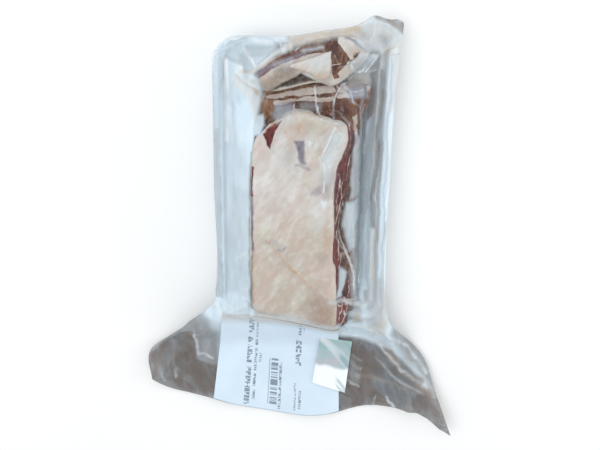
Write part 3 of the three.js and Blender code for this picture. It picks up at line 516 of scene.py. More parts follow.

# Creases of the film: where they run in plan, their height, half width, and how white the folded film looks;
# part of that whiteness is painted highlight.
CREASES = [
    ([(1.6, 48.4), (3.5, 42.3), (3.7, 33.7)], 0.6, 0.5, 0.3),
    ([(19.1, 47), (11.2, 27.7)], 0.8, 0.6, 0.8),
    ([(24.4, 31.2), (14.9, 27.8)], 0.6, 0.5, 0.5),
    ([(20.3, 26.3), (12, 16.8)], 0.7, 0.6, 0.7),
    ([(9.9, 27.7), (10.6, 20.1)], 0.5, 0.5, 0.7),
    ([(12.9, 23.4), (12.8, 5.7)], 0.6, 0.6, 0.65),
    ([(24.8, 48.2), (16, 49.6), (9, 52)], 0.4, 0.5, 0.6),
    ([(21, 55), (26, 50.5), (28.4, 46.4)], 0.8, 0.5, 0.7),
    ([(6, 70.1), (6.6, 61.2), (7.1, 55.5), (8.9, 54)], 1.0, 0.5, 0.75),
    ([(22.4, 69.4), (19, 62.8), (17.4, 50.8)], 1.0, 0.6, 0.7),
    ([(-7.4, 59.1), (-7.2, 56.1)], 0.5, 0.5, 0.9),
    ([(7.5, 57.5), (7.1, 54.8)], 0.5, 0.6, 0.9),
    ([(-40.5, 93), (-36.7, 87.9), (-32.9, 82.4)], 1.2, 0.8, 1.0),
    ([(-62.6, 86.6), (-52.3, 92.3), (-37, 98.4)], 1.0, 0.8, 0.6),
    ([(-57.4, 89.4), (-44.3, 85.5), (-45.1, 77.1), (-38.8, 71.5), (-30.3, 67.9)], 0.9, 0.7, 0.65),
    ([(-44.3, 85.5), (-40, 76)], 0.7, 0.6, 0.6),
    ([(-18.1, 99.1), (-15.6, 93.8), (-14.1, 91.6)], 0.8, 0.7, 0.6),
    ([(-12.8, 101), (-12.1, 94), (-11.1, 92.6)], -1.2, 0.7, 0.0),
    ([(-7, 93.7), (-0.1, 99.6), (7.8, 102), (13.9, 100.7)], 0.9, 0.7, 0.55),
    ([(29.8, 102.9), (43.2, 97), (48.7, 90.2)], 1.0, 0.8, 0.7),
    ([(42.9, 112.4), (44, 100.5), (49.5, 92)], 1.0, 0.8, 0.75),
    ([(64.7, 101.4), (49.6, 91.1)], 1.0, 0.8, 0.75),
    ([(20.8, 82.5), (27.6, 85.2), (35.8, 91.2)], 1.0, 0.6, 0.6),
    ([(34.3, 93.1), (46.8, 89.4), (38.5, 79.2)], 1.2, 0.7, 0.85),
    ([(24.6, 71.6), (30.4, 78.5), (36.5, 80.3), (40, 85.6), (44.8, 88.7)], 1.2, 0.7, 0.85),
    ([(27.6, 85), (30.3, 79.2), (26, 74)], 0.9, 0.6, 0.8),
    ([(23.2, 71.3), (26.9, 80.5), (25.4, 76.6)], 0.8, 0.6, 0.75),
    ([(30.3, 79.2), (38.5, 79.2), (46, 80)], 0.8, 0.6, 0.6),
    ([(24, 71), (30, 66), (38, 68)], 0.8, 0.6, 0.6),
    ([(28, 68), (31, 60), (36, 56)], 0.7, 0.6, 0.6),
    ([(19, 47), (24.8, 40.6), (22.4, 32), (14, 22)], 0.7, 0.7, 0.5),
    ([(21.5, 41), (17.4, 35), (14.5, 30)], 0.6, 0.5, 0.5),
    ([(16.6, 36.4), (20.6, 33.6), (22.8, 35.6)], 0.5, 0.5, 0.45),
    ([(13.4, 34), (16.4, 30), (16.8, 26)], 0.5, 0.5, 0.4),
    ([(10.8, 40.8), (7.4, 39.6), (8, 33)], 0.5, 0.5, 0.25),
    ([(12.2, 24), (13, 14), (12.6, 4)], 0.6, 0.8, 0.7),
    ([(21.5, -28.7), (29, -44), (36.1, -57.4), (38, -78)], 0.8, 0.6, 0.6),
    ([(40.4, -66), (41.2, -76), (42, -88)], 0.8, 0.5, 0.75),
    ([(24, -78), (30, -79.5), (40, -82)], 0.7, 0.6, 0.6),
    ([(-79.4, -115), (-77.7, -139.1), (-74, -138), (-67, -142.4)], 1.0, 0.8, 0.7),
    ([(-105, -151.8), (-103.7, -160.4)], 0.7, 0.7, 0.5),
    ([(-95.2, -150.8), (-95, -158.6)], 0.7, 0.7, 0.5),
    ([(61, -130.4), (67.6, -136.7), (75.4, -145.5), (95.8, -159), (104.1, -169.2)], 1.6, 1.4, 0.5),
    ([(57.7, -139.3), (68.6, -151.2), (80.8, -159.5), (92.8, -164.4)], 1.4, 1.2, 0.3),
    ([(62.9, -112), (80, -128), (96, -150)], 1.6, 1.5, 0.5),
    ([(45.9, -104), (52, -113), (58.3, -124.7)], 1.8, 1.4, 0.8),
    ([(31, -116.4), (46, -119.8), (58.3, -124.7), (64, -134)], 1.4, 1.2, 0.85),
    ([(30, -104), (46, -109), (60, -116)], 1.4, 1.2, 0.5),
    ([(58.4, -172.1), (56.5, -181.8)], 0.8, 0.7, 0.5),
    ([(66.7, -172), (69.9, -176.8), (73.4, -179.7)], 0.8, 0.7, 0.7),
    ([(-64, -90), (-52, -95), (-37, -96)], 0.6, 1.3, 0.5),
    ([(-47, -54), (-42, -47), (-37, -41)], 0.6, 0.9, 0.3),
    ([(-43, -75), (-36.5, -68.5)], 0.5, 0.9, 0.25),
]
# Fine wrinkles right of the foil: first wrinkle's ends, step to the next, how many, height and half width.
WRINKLES = {
    "from": (38, -137), "to": (47, -143), "step": (-0.15, -1.7), "count": 14, "height": 0.5, "width": 0.5,
}

# Stage: the floor in millimetres, where the camera aims in millimetres, and its sensor.
FLOOR = {"half_width": 1500, "cells": 30, "level": -0.3, "thickness": 5}
CAMERA_AIM = (-2.2, -35, 0)
SENSOR_WIDTH = 36
# Lights: where they aim in metres, then place and size in metres and colour of each.
LIGHT_AIM = (0, -0.02, 0)
LIGHTS = {
    "key": ((-0.55, 0.12, 0.90), (0.8, 0.9), (0.96, 0.98, 1.0)),
    "side": ((0.75, -0.05, 0.24), (0.6, 0.3), (1.0, 0.99, 0.97)),
    "top": ((-0.10, 0.80, 0.80), (0.8, 0.4), (1.0, 1.0, 1.0)),
}
AMBIENT_COLOUR = (0.95, 0.98, 1.0, 1)


def smoothstep(value, low, high):
    """Share of the way from low to high with level ends: 3 t^2 - 2 t^3 of the clipped share t."""
    share = np.clip((value - low) / (high - low), 0, 1)
    return share * share * (3 - 2 * share)


def curve(points):
    """Smooth curve through (position, value) points: cubic spans, sloped by the points' gradient."""
    position, value = np.array(points, float).T
    slope = np.gradient(value, position)

    def at(where):
        where = np.clip(where, position[0], position[-1])
        span = np.clip(np.searchsorted(position, where) - 1, 0, len(position) - 2)
        length = position[span + 1] - position[span]
        t = (where - position[span]) / length
        start = (1 + 2 * t) * (1 - t) ** 2 * value[span] + t * (1 - t) ** 2 * length * slope[span]
        end = t * t * (3 - 2 * t) * value[span + 1] - t * t * (1 - t) * length * slope[span + 1]
        return start + end

    return at


def broken_line(points):
    """Straight runs between (position, value) points, level past the ends."""
    position, value = np.array(points, float).T
    return lambda where: np.interp(where, position, value)


def closed_curve(points, count, span_steps=40):
    """Evenly spaced points on a closed curve: cubics between points, with the chord across as tangent."""
    corner = np.array(points, float)
    following = np.roll(corner, -1, 0)
    tangent = (following - np.roll(corner, 1, 0)) / 2
    t = np.linspace(0, 1, span_steps, endpoint=False)[None, :, None]
    run = (
        (1 + 2 * t) * (1 - t) ** 2 * corner[:, None]
        + t * (1 - t) ** 2 * tangent[:, None]
        + t * t * (3 - 2 * t) * following[:, None]
        - t * t * (1 - t) * np.roll(tangent, -1, 0)[:, None]
    ).reshape(-1, 2)
    run = np.vstack([run, run[:1]])
    travel = np.concatenate([[0], np.cumsum(np.hypot(*np.diff(run, axis=0).T))])
    even = np.linspace(0, travel[-1], count, endpoint=False)
    return np.stack([np.interp(even, travel, run[:, axis]) for axis in (0, 1)], -1)


def from_segment(x, y, start, end):
    """Share of the way along a segment at the nearest point, and the distance to that point."""
    along = np.subtract(end[:2], start[:2])
    share = np.clip(((x - start[0]) * along[0] + (y - start[1]) * along[1]) / (along @ along), 0, 1)
    return share, np.hypot(x - start[0] - share * along[0], y - start[1] - share * along[1])


def line_distance(x, y, points):
    """Least distance to a chain of segments."""
    return np.min([from_segment(x, y, a, b)[1] for a, b in zip(points, points[1:])], 0)


def patch_distance(x, y, points):
    """Distance to a closed outline, negative where a ray to the right crosses an odd number of its sides."""
    near = np.full(np.shape(x), np.inf)
    inside = np.zeros(np.shape(x), bool)
    for a, b in zip(points, list(points[1:]) + [points[0]]):
        near = np.minimum(near, from_segment(x, y, a, b)[1])
        crossing = (a[1] > y) != (b[1] > y)
        reach = (b[0] - a[0]) * (y - a[1]) / ((b[1] - a[1]) or 1) + a[0]
        inside ^= crossing & (x < reach)
    return np.where(inside, -near, near)


def rounded_distance(x, y, half_x, half_y, radius):
    """Distance to a rounded rectangle about the origin, negative inside."""
    across = np.abs(x) - half_x + radius
    along = np.abs(y) - half_y + radius
    outside = np.hypot(np.maximum(across, 0), np.maximum(along, 0))
    return outside + np.minimum(np.maximum(across, along), 0) - radius


def bridged(a, b, span):
    """Larger of two heights, with the inside corner between them filled by a parabola over a span."""
    share = np.maximum(span - np.abs(a - b), 0) / span
    return np.maximum(a, b) + share * share * span / 4


def cover(x, y, outline, half_width, soft):
    """Share of a filled patch, or of a line with a half width, that fades over its softness at the edge."""
    distance = line_distance(x, y, outline) - half_width if half_width else patch_distance(x, y, outline)
    return 1 - smoothstep(distance, -soft, soft)


def scramble(x, y, z, seed):
    """Even random number from 0 to 1 for each whole lattice point, from its mixed and folded coordinates."""
    mixed = (x * 374761393 + y * 668265263 + z * 1440662683 + seed * 1274126177) & 0xFFFFFFFF
    mixed = ((mixed ^ (mixed >> 13)) * 1274126177) & 0xFFFFFFFF
    return (mixed ^ (mixed >> 16)) / 0xFFFFFFFF


def noise(x, y, z=0.0, cell=10.0, seed=1, octaves=2):
    """Smooth random field from -1 to 1: lattice numbers blended by smoothstep, each octave half as large."""
    total = np.zeros(np.broadcast(x, y, z).shape)
    for octave in range(octaves):
        size = cell / 2**octave
        at = [np.asarray(value) / size for value in (x, y, z)]
        low = [np.floor(value).astype(np.int64) for value in at]
        ease = [smoothstep(value - base, 0, 1) for value, base in zip(at, low)]
        field = 0
        for corner in np.ndindex(2, 2, 2):
            weight = 1
            for share, side in zip(ease, corner):
                weight = weight * (share if side else 1 - share)
            lattice = [base + side for base, side in zip(low, corner)]
            field = field + weight * scramble(*lattice, seed + octave)
        total = total + (2 * field - 1) / 2**octave
    return total / (2 - 0.5 ** (octaves - 1))


def kink_shift(x, y):
    """How far the tray's far end is bent out past the kink in its rim."""
    bend = TRAY_KINK_SLOPE * np.maximum(x - TRAY_KINK_X, 0)
    return bend * smoothstep(y, TRAY_HALF_LENGTH - TRAY_KINK_REACH, TRAY_HALF_LENGTH)


def side_shift(x, y):
    """How far the vacuum draws the tray's right side in: a parabola along the side."""
    middle = 1 - np.clip(y / TRAY_HALF_LENGTH, -1, 1) ** 2
    return TRAY_SIDE_BOW * middle * np.clip(x / TRAY_HALF_WIDTH, 0, 1)


def tray_inset(x, y):
    """Distance in from the rim's edge, measured on the tray before it was bent."""
    straight = (x + side_shift(x, y), y - kink_shift(x, y))
    return -rounded_distance(*straight, TRAY_HALF_WIDTH, TRAY_HALF_LENGTH, TRAY_CORNER)


def slab_plane(slab, x, y):
    """Tilted plane of a slab's top."""
    centre, rise = slab["centre"], slab["rise"]
    return slab["top"] + rise[0] * (x - centre[0]) + rise[1] * (y - centre[1])


def slab_height(slab, x, y):
    """Film over one slab: its tilted top, a quarter round at its upper edge and a steep straight side."""
    outline = closed_curve(slab["outline"], SLAB_EDGE_POINTS)
    distance = patch_distance(x, y, [tuple(point) for point in outline])
    into_edge = np.clip(distance + slab["edge"], 0, slab["edge"])
    rounding = slab["edge"] - np.sqrt(slab["edge"] ** 2 - into_edge**2)
    far_share = smoothstep(y, TRAY_HALF_LENGTH - FAR_SLOPE_REACH, TRAY_HALF_LENGTH)
    slope = FILM_SLOPE + far_share * (FAR_SLOPE - FILM_SLOPE)
    return slab_plane(slab, x, y) - rounding - slope * np.maximum(distance, 0)


def front_relief(x, y):
    """Relief of the fat cap: soft lumps, a hollow at the red wedge, a groove and the diagonal ridge."""
    lumps = 0.7 * noise(x, y, cell=26, seed=11) + 0.25 * noise(x, y, cell=7, seed=12)
    wedge = 1.8 * smoothstep(-patch_distance(x, y, RED_WEDGE), -1.5, 2.0)
    groove = 0.7 * np.exp(-((line_distance(x, y, [(-3, 37), (-1.5, 23)]) / 2.6) ** 2))
    ridge = 0.7 * np.exp(-((line_distance(x, y, DIAGONAL) / 1.6) ** 2))
    return lumps - wedge - groove + ridge


def back_relief(x, y):
    """Relief of the back slab: lumps, and the hollow under its flap."""
    hollow = 3.5 * smoothstep(-patch_distance(x, y, CAVITY), -1.5, 2.5)
    return 0.5 * noise(x, y, cell=12, seed=13) - hollow


def middle_relief(x, y):
    """Relief of the middle slab: ridges along its bands of fat."""
    return 0.5 * noise(x, 2 * y, cell=9, seed=14) + 0.4 * noise(0.2 * x, y - 0.1 * x, cell=3, seed=16)


def flap_relief(x, y):
    """Relief of the fat flap: low soft lumps."""
    return 0.3 * noise(x, y, cell=9, seed=15)


RELIEFS = {
    "slab_front": front_relief,
    "slab_middle": middle_relief,
    "slab_back": back_relief,
    "fat_flap": flap_relief,
}


def tent_height(tent, x, y):
    """Tent of film: a sloping ridge line that falls evenly away on both sides."""
    share, distance = from_segment(x, y, tent["from"], tent["to"])
    return tent["from"][2] + share * (tent["to"][2] - tent["from"][2]) - tent["slope"] * distance


def skirt_share(row):
    """Share of the way from the tray's near end to the hem."""
    return np.clip((SKIRT_START - row) / (SKIRT_START - SKIRT_HEM), 0, 1)


def skirt_height(x, y):
    """Skirt: an eased drop from the lip to the floor, then a sine wave, curled tips and rounded folds."""
    drop = smoothstep(-TRAY_HALF_LENGTH - y, 0, SKIRT_DROP)
    turn = 2 * np.pi * x / SKIRT_WAVE["length"] + SKIRT_WAVE["phase"]
    wave = SKIRT_WAVE["height"] * (0.5 + 0.5 * np.sin(turn))
    curl = SKIRT_CURL["height"] * smoothstep(np.abs(x), SKIRT_CURL["start"], SKIRT_CURL["end"])
    height = SKIRT_HEIGHTS[0] + drop * (SKIRT_HEIGHTS[1] - SKIRT_HEIGHTS[0]) + skirt_share(y) * (wave + curl)
    for fold in SKIRT_FOLDS:
        distance = from_segment(x, y, fold["from"], fold["to"])[1]
        height = height + fold["height"] * np.exp(-((distance / fold["width"]) ** 2))
    return height


def film_height(x, y):
    """Film's upper side: the largest of tray, slabs, tents and skirt, with inside corners bridged."""
    inset = tray_inset(x, y)
    height = broken_line(FILM_ON_TRAY)(inset)
    slack = np.maximum(smoothstep(-x, *SLACK_LEFT), smoothstep(-y, *SLACK_NEAR))
    span = FILM_BRIDGE + slack * (SLACK_BRIDGE - FILM_BRIDGE)
    for name, slab in SLABS.items():
        height = bridged(height, slab_height(slab, x, y), FLAP_BRIDGE if name == "fat_flap" else span)
    for tent in TENTS:
        height = bridged(height, tent_height(tent, x, y), FILM_BRIDGE / 2)
    skirt = bridged(height, skirt_height(x, y), FILM_BRIDGE / 4)
    return np.where((inset < 0) & (y < 0), skirt, height)


def film_underside(x, y, top):
    """Film's lower side: the tray's base and outer wall, or just below the upper side."""
    return np.maximum(0, np.minimum(broken_line(FILM_UNDER_TRAY)(tray_inset(x, y)), top - SKIRT_GAP))


class Wire:
    """A shader socket whose arithmetic adds Math nodes to its tree."""

    def __init__(self, tree, socket=None):
        self.tree = tree
        self.socket = socket

    def node(self, kind, settings=None, inputs=None, output=0):
        """Adds a node, sets its settings, then fills or links its inputs, and wraps one of its outputs."""
        added = self.tree.nodes.new(kind)
        for name, value in (settings or {}).items():
            setattr(added, name, value)
        for key, value in (inputs or {}).items():
            socket = added.inputs[key]
            if isinstance(value, Wire):
                self.tree.links.new(value.socket, socket)
            elif socket.type == "RGBA":
                socket.default_value = (*value[:3], 1)
            else:
                socket.default_value = value
        return Wire(self.tree, added.outputs[output] if added.outputs else None)

    def math(self, operation, *values):
        """Adds a Math node that works on values or wires."""
        return self.node("ShaderNodeMath", {"operation": operation}, dict(enumerate(values)))

    def __add__(self, other):
        return self.math("ADD", self, other)

    __radd__ = __add__

    def __mul__(self, other):
        return self.math("MULTIPLY", self, other)

    __rmul__ = __mul__

    def __sub__(self, other):
        return self.math("SUBTRACT", self, other)

    def __rsub__(self, other):
        return self.math("SUBTRACT", other, self)

    def between(self, low, high):
        """Smooth step of this value from low to high."""
        inputs = {"Value": self, "From Min": low, "From Max": high}
        return self.node("ShaderNodeMapRange", {"interpolation_type": "SMOOTHSTEP"}, inputs)

    def mix(self, first, second):
        """Colour between two colours, with this value as the share of the second."""
        settings = {"data_type": "RGBA", "clamp_factor": True}
        return self.node("ShaderNodeMix", settings, {0: self, 6: first, 7: second}, 2)

    def attribute(self, name):
        """Value that the mesh holds for each point under a name."""
        return self.node("ShaderNodeAttribute", {"attribute_name": name}, output="Fac")

    def place(self):
        """Place on the object in metres."""
        return self.node("ShaderNodeTexCoord", output="Object")

    def turned_place(self, stretch, shift, turn):
        """Place on the object, turned about z, then stretched and shifted along every axis."""
        turned = self.node("ShaderNodeMapping", {}, {"Vector": self.place(), "Rotation": (0, 0, turn)})
        inputs = {"Vector": turned, "Scale": stretch, "Location": (shift,) * 3}
        return self.node("ShaderNodeMapping", {}, inputs)

    def grain(self, size, detail=3.0, stretch=(1, 1, 1), shift=0.0, turn=0.0):
        """Noise over the object with features of a size in metres, finer along a stretched axis."""
        inputs = {"Vector": self.turned_place(stretch, shift, turn), "Scale": 1 / size, "Detail": detail}
        return self.node("ShaderNodeTexNoise", {}, inputs)

    def facets(self, size, stretch=(1, 1, 1), turn=0.0):
        """Random value from 0 to 1 in each cell of a crumpled pattern with cells of a size in metres."""
        inputs = {"Vector": self.turned_place(stretch, 0.0, turn), "Scale": 1 / size}
        cells = self.node("ShaderNodeTexVoronoi", {}, inputs, "Color")
        return self.node("ShaderNodeSeparateColor", {}, {"Color": cells}, "Red")

    def bump(self, height, distance, strength=1.0, normal=None):
        """Normal tilted by a height that varies from 0 to 1 over a distance in metres."""
        inputs = {"Height": height, "Distance": distance, "Strength": strength}
        if normal:
            inputs["Normal"] = normal
        return self.node("ShaderNodeBump", {}, inputs)

    def principled(self, inputs):
        """Opaque shader with the colour and the finish that its inputs give."""
        return self.node("ShaderNodeBsdfPrincipled", {}, inputs)


def new_material(name):
    """Empty material and the wire that starts its nodes."""
    material = bpy.data.materials.new(name)
    material.use_nodes = True
    material.node_tree.nodes.clear()
    return material, Wire(material.node_tree)


def finish_material(wire, shader):
    """Ends the nodes in the surface output."""
    wire.node("ShaderNodeOutputMaterial", {}, {"Surface": shader})


def foam_material(tray):
    """White foam: fused beads as cells in the bump, faint cloudy shade, and stains where the mesh says."""
    material, wire = new_material("white_foam")
    stain = wire.attribute("stain") * wire.grain(0.004).between(0.25, 0.65)
    cloudy = wire.grain(0.03).between(0.35, 0.65)
    colour = stain.mix(cloudy.mix(tray.foam_shade, tray.foam_colour), tray.stain_colour)
    beads = wire.node("ShaderNodeTexVoronoi", {}, {"Vector": wire.place(), "Scale": 1 / tray.bead_size})
    normal = wire.bump(beads, 0.0002, 0.35)
    inputs = {"Base Color": colour, "Roughness": 0.55, "Normal": normal, "Subsurface Weight": 0.1}
    finish_material(wire, wire.principled(inputs))
    return material


def meat_material(meat):
    """Raw meat: streaked cream fat, grained red lean with marbling, and the marks that the mesh says."""
    material, wire = new_material("short_rib_meat")
    mark = {kind: wire.attribute(kind) for kind in (*MARK_KINDS, "aged")}
    cloud = wire.grain(0.013, 5, (1.0, 0.6, 1.0), turn=math.radians(30)).between(0.4, 0.62)
    yellow = wire.grain(0.02, 4, shift=3.0).between(0.42, 0.62)
    streak = wire.grain(0.006, 5, (1.0, 0.3, 1.0), 0.2, math.radians(28)).between(0.38, 0.7)
    fleck = wire.grain(0.0032, 4, (1.4, 0.8, 1), 0.4)
    pale = wire.grain(0.010, 6, (1.0, 0.4, 1.0), 1.9, math.radians(35)).between(0.48, 0.75)
    thread = wire.grain(0.0034, 5, (1.0, 0.5, 1.0), 7.7, math.radians(40))
    fibre = wire.grain(0.0024, 4, (1.6, 0.35, 1.6), 0.7)
    vein = wire.grain(0.0045, 5, (1.5, 0.4, 1.5), 1.3)
    ragged = wire.grain(0.0028, 4, shift=2.1) - 0.5 + 1.1 * (wire.grain(0.009, 3, shift=4.2) - 0.5)
    mottle = wire.grain(0.006, 4, (1.2, 0.6, 1.2), 5.1)

    fat = (0.5 * yellow).mix(meat.fat_colour, meat.yellow_colour)
    fat = (0.85 * mark["tan"] * fleck.between(0.0, 0.55)).mix(fat, meat.tan_colour)
    fat = (0.5 * cloud + 0.65 * mark["blush"] * fleck.between(0.2, 0.6)).mix(fat, meat.blush_colour)
    fat = (0.5 * streak).mix(fat, meat.streak_colour)
    fat = (0.65 * pale * (1 - 0.45 * mark["tan"]) + 0.6 * mark["pale"]).mix(fat, meat.pale_colour)
    fat = (0.3 * thread.between(0.48, 0.72)).mix(fat, meat.pale_colour)
    fat = (0.35 * thread.between(0.52, 0.3)).mix(fat, meat.streak_colour)

    lean = fibre.between(0.3, 0.68).mix(meat.dark_lean_colour, meat.lean_colour)
    aged = fibre.between(0.3, 0.68).mix(meat.dark_aged_colour, meat.aged_colour)
    lean = mark["aged"].mix(lean, aged)
    lean = (vein.between(0.55, 0.64) * (0.8 - 0.5 * mark["aged"])).mix(lean, meat.sinew_colour)
    spot = mark["aged"].mix(meat.dark_lean_colour, meat.dark_aged_colour)
    lean = mottle.between(0.35, 0.5).mix(spot, lean)
    blood_share = (mark["blood"] + ragged * mark["blood"]).between(0.35, 0.75)
    wet = fibre.between(0.34, 0.6).mix(meat.dark_lean_colour, meat.blood_colour)
    wet = (0.7 * vein.between(0.58, 0.68)).mix(wet, meat.sinew_colour)
    lean = blood_share.mix(lean, wet)

    lean_share = (mark["lean"] + ragged).between(0.35, 0.65)
    lean_share = lean_share.math("MAXIMUM", lean_share, blood_share)
    colour = lean_share.mix(fat, lean)
    # Bruise colour: purple grey meat, and painted shade where it lies faint over the lobe.
    colour = (mark["bruise"] * (fleck + 0.4)).mix(colour, meat.bruise_and_shade_colour)
    colour = (mark["orange"] * fleck.between(0.2, 0.6)).mix(colour, meat.orange_colour)
    # Dark marks paint shade, towards a near-black colour.
    colour = (mark["dark"] * (fleck + 0.5)).mix(colour, meat.painted_shade_colour)

    normal = wire.bump(fibre * lean_share + fleck * (1 - lean_share), 0.0004, 0.6)
    inputs = {
        "Base Color": colour,
        "Roughness": 0.45 + 0.2 * fleck,
        "Specular IOR Level": 0.08,
        "Normal": normal,
        "Subsurface Weight": 0.1,
        "Subsurface Radius": (0.004, 0.002, 0.0015),
        "Subsurface Scale": 1.0,
    }
    finish_material(wire, wire.principled(inputs))
    return material


def film_material(film):
    """Clear bag film: a see-through sheet, glossy at a low angle, milky or smoky where the mesh says, with
    painted shade in the smoky colour and painted highlights in the shine colour.
    """
    material, wire = new_material("clear_bag_film")
    haze = wire.attribute("haze")
    smoke = wire.attribute("smoke")
    juice = wire.attribute("juice")
    wisps = wire.grain(0.009, 4, (1, 0.45, 1), turn=math.radians(-25)).between(0.3, 0.75)
    ripple = wire.grain(0.008, 3, (1.2, 0.6, 1), 0.3)
    fine = wire.grain(0.0018, 2, shift=1.7)
    normal = wire.bump(ripple, 0.0008, 0.5, wire.bump(fine, 0.0002, 0.5))
    facing = wire.node("ShaderNodeLayerWeight", {}, {"Blend": 0.5, "Normal": normal}, "Facing")
    mirror = 0.012 + 0.7 * facing.math("POWER", facing, 5.0)
    clear = wire.node("ShaderNodeBsdfTransparent", {}, {"Color": (1, 1, 1)})
    gloss = wire.node("ShaderNodeBsdfGlossy", {}, {"Color": (1, 1, 1), "Roughness": 0.14, "Normal": normal})
    sheet = wire.node("ShaderNodeMixShader", {}, {0: mirror, 1: clear, 2: gloss})
    cool = wire.grain(0.022, 4, (1, 0.6, 1), 2.6).between(0.46, 0.64)
    # Wisps, painted glints and the painted sheen of crumpled facets turn the smoky colour paler.
    glint = wire.grain(0.005, 4, (1, 0.3, 1), 3.3, math.radians(20)).between(0.6, 0.7)
    dark = cool.mix(film.smoke_and_shade_colour, film.cool_smoke_colour)
    facet_sheen = wire.facets(0.006, (1, 0.4, 1), math.radians(-35)).between(0.5, 1.0)
    dark = (0.4 * wisps + 0.4 * glint + 0.45 * facet_sheen).mix(dark, film.pale_smoke_and_glint_colour)
    colour = juice.mix(smoke.mix(film.haze_colour, dark), film.juice_colour)
    # Faint streaks of painted sheen, and painted highlights where the mesh gives shine.
    cloud = wire.grain(0.005, 4, (1, 0.1, 1), 4.1, math.radians(3)).between(0.45, 0.75)
    colour = (wire.attribute("shine") + 0.2 * cloud * (1 - smoke)).mix(colour, film.shine_colour)
    inputs = {"Base Color": colour, "Roughness": 0.3, "Specular IOR Level": 0.35, "Normal": normal}
    milky = wire.principled(inputs)
    share = haze * (0.95 - 0.25 * smoke * (1 - wisps))
    finish_material(wire, wire.node("ShaderNodeMixShader", {}, {0: share, 1: sheet, 2: milky}))
    return material


def paper_material(label):
    """Smooth label paper, faintly cloudy, with grey print, and a painted shadow of the meat on its far end
    where the mesh says.
    """
    material, wire = new_material("label_paper")
    print_share = wire.attribute("ink") * wire.grain(0.0009).between(0.15, 0.5)
    cloudy = wire.grain(0.02).between(0.3, 0.7)
    # The far end turns to the colour of the painted shadow.
    paper = wire.attribute("painted_shadow").mix(cloudy.mix(label.paper_shade, label.paper_colour), label.painted_shadow_colour)
    colour = print_share.mix(paper, label.ink_colour)
    normal = wire.bump(wire.grain(0.012, 2), 0.0006, 0.4)
    inputs = {"Base Color": colour, "Roughness": 0.42, "Specular IOR Level": 0.3, "Normal": normal}
    finish_material(wire, wire.principled(inputs))
    return material


def foil_material(foil):
    """Bright creased foil: silver with drifting pastel clouds, painted shade in its creases, and a painted
    white glare where the mesh says.
    """
    material, wire = new_material("silver_foil")
    glare = wire.attribute("glare")
    crease_shade = wire.attribute("crease_shade")
    drift = wire.grain(0.010, 2, (1, 0.6, 1), turn=0.5)
    tint = drift.between(0.42, 0.6).mix(foil.cool_tint, foil.warm_tint)
    colour = wire.grain(0.006, 3, shift=0.9).between(0.35, 0.65).mix(foil.silver, tint)
    # Painted shade in the creases, then the painted white glare over it.
    colour = crease_shade.mix(colour, foil.crease_shade_colour)
    colour = glare.mix(colour, foil.glare_colour)
    normal = wire.bump(wire.grain(0.005, 2, (1, 0.5, 1), turn=0.6), 0.0008, 0.4)
    inputs = {
        "Base Color": colour,
        "Metallic": 0.5 * (1 - glare),
        "Roughness": 0.25 + 0.2 * drift,
        "Normal": normal,
    }
    finish_material(wire, wire.principled(inputs))
    return material


def floor_material(stage):
    """Pale studio paper with a faint cloudy shade."""
    material, wire = new_material("pale_floor")
    colour = wire.grain(0.25, 2).between(0.3, 0.7).mix(stage.floor_colour, stage.floor_shade)
    finish_material(wire, wire.principled({"Base Color": colour, "Roughness": 0.8}))
    return material


def mesh_object(name, points, faces, material, values=None):
    """Object with a mesh of points in millimetres, smooth faces and a value of each kind at each point."""
    mesh = bpy.data.meshes.new(name)
    mesh.from_pydata((points.reshape(-1, 3) * MM).tolist(), [], faces)
    for kind, value in (values or {}).items():
        layer = mesh.attributes.new(kind, "FLOAT", "POINT")
        layer.data.foreach_set("value", np.asarray(value, np.float32).ravel())
    mesh.shade_smooth()
    mesh.materials.append(material)
    piece = bpy.data.objects.new(name, mesh)
    bpy.context.scene.collection.objects.link(piece)
    return piece


def add_piece(name, points, faces, material, nodes, values=None):
    """Piece of the pack that rides on the root and stands for some of the frame's nodes."""
    piece = mesh_object(name, points, faces, material, values)
    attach(piece, "root")
    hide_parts(*nodes)
    return piece


def ring_faces(rings, count):
    """Faces of a closed form: a fan at the first point, quads between rings, and a fan at the last point.

    The points are the first pole, the rings in order with their points anticlockwise, and the last pole.
    """
    ring = 1 + np.arange(rings)[:, None] * count
    turn = np.arange(count)
    here, there = ring + turn, ring + np.roll(turn, -1)
    quads = np.stack([here[:-1], here[1:], there[1:], there[:-1]], -1).reshape(-1, 4)
    last = 1 + rings * count
    first_fan = np.stack([np.zeros(count, int), here[0], there[0]], -1)
    last_fan = np.stack([np.full(count, last), there[-1], here[-1]], -1)
    return first_fan.tolist() + quads.tolist() + last_fan.tolist()


def grid_faces(index):
    """Quads between the neighbours of a grid of point numbers, anticlockwise from above."""
    return np.stack([index[:-1, :-1], index[:-1, 1:], index[1:, 1:], index[1:, :-1]], -1).reshape(-1, 4)


def plate_faces(rows, columns):
    """Faces of a closed plate: an upper grid, a lower grid wound the other way, and quads round the rim."""
    index = np.arange(rows * columns).reshape(rows, columns)
    upper = grid_faces(index)
    border = np.concatenate([index[0, :-1], index[:-1, -1], index[-1, :0:-1], index[:0:-1, 0]])
    below = rows * columns
    following = np.roll(border, -1)
    band = np.stack([border, border + below, following + below, following], -1)
    return upper.tolist() + (upper[:, ::-1] + below).tolist() + band.tolist()


def even_section(points, count):
    """Evenly spaced points along straight runs, each inner one the mean of itself and its neighbours."""
    section = np.array(points, float)
    travel = np.concatenate([[0], np.cumsum(np.hypot(*np.diff(section, axis=0).T))])
    even = np.linspace(0, travel[-1], count)
    columns = [np.interp(even, travel, section[:, axis]) for axis in (0, 1)]
    for column in columns:
        column[1:-1] = np.convolve(column, np.ones(3) / 3, "valid")
    return columns


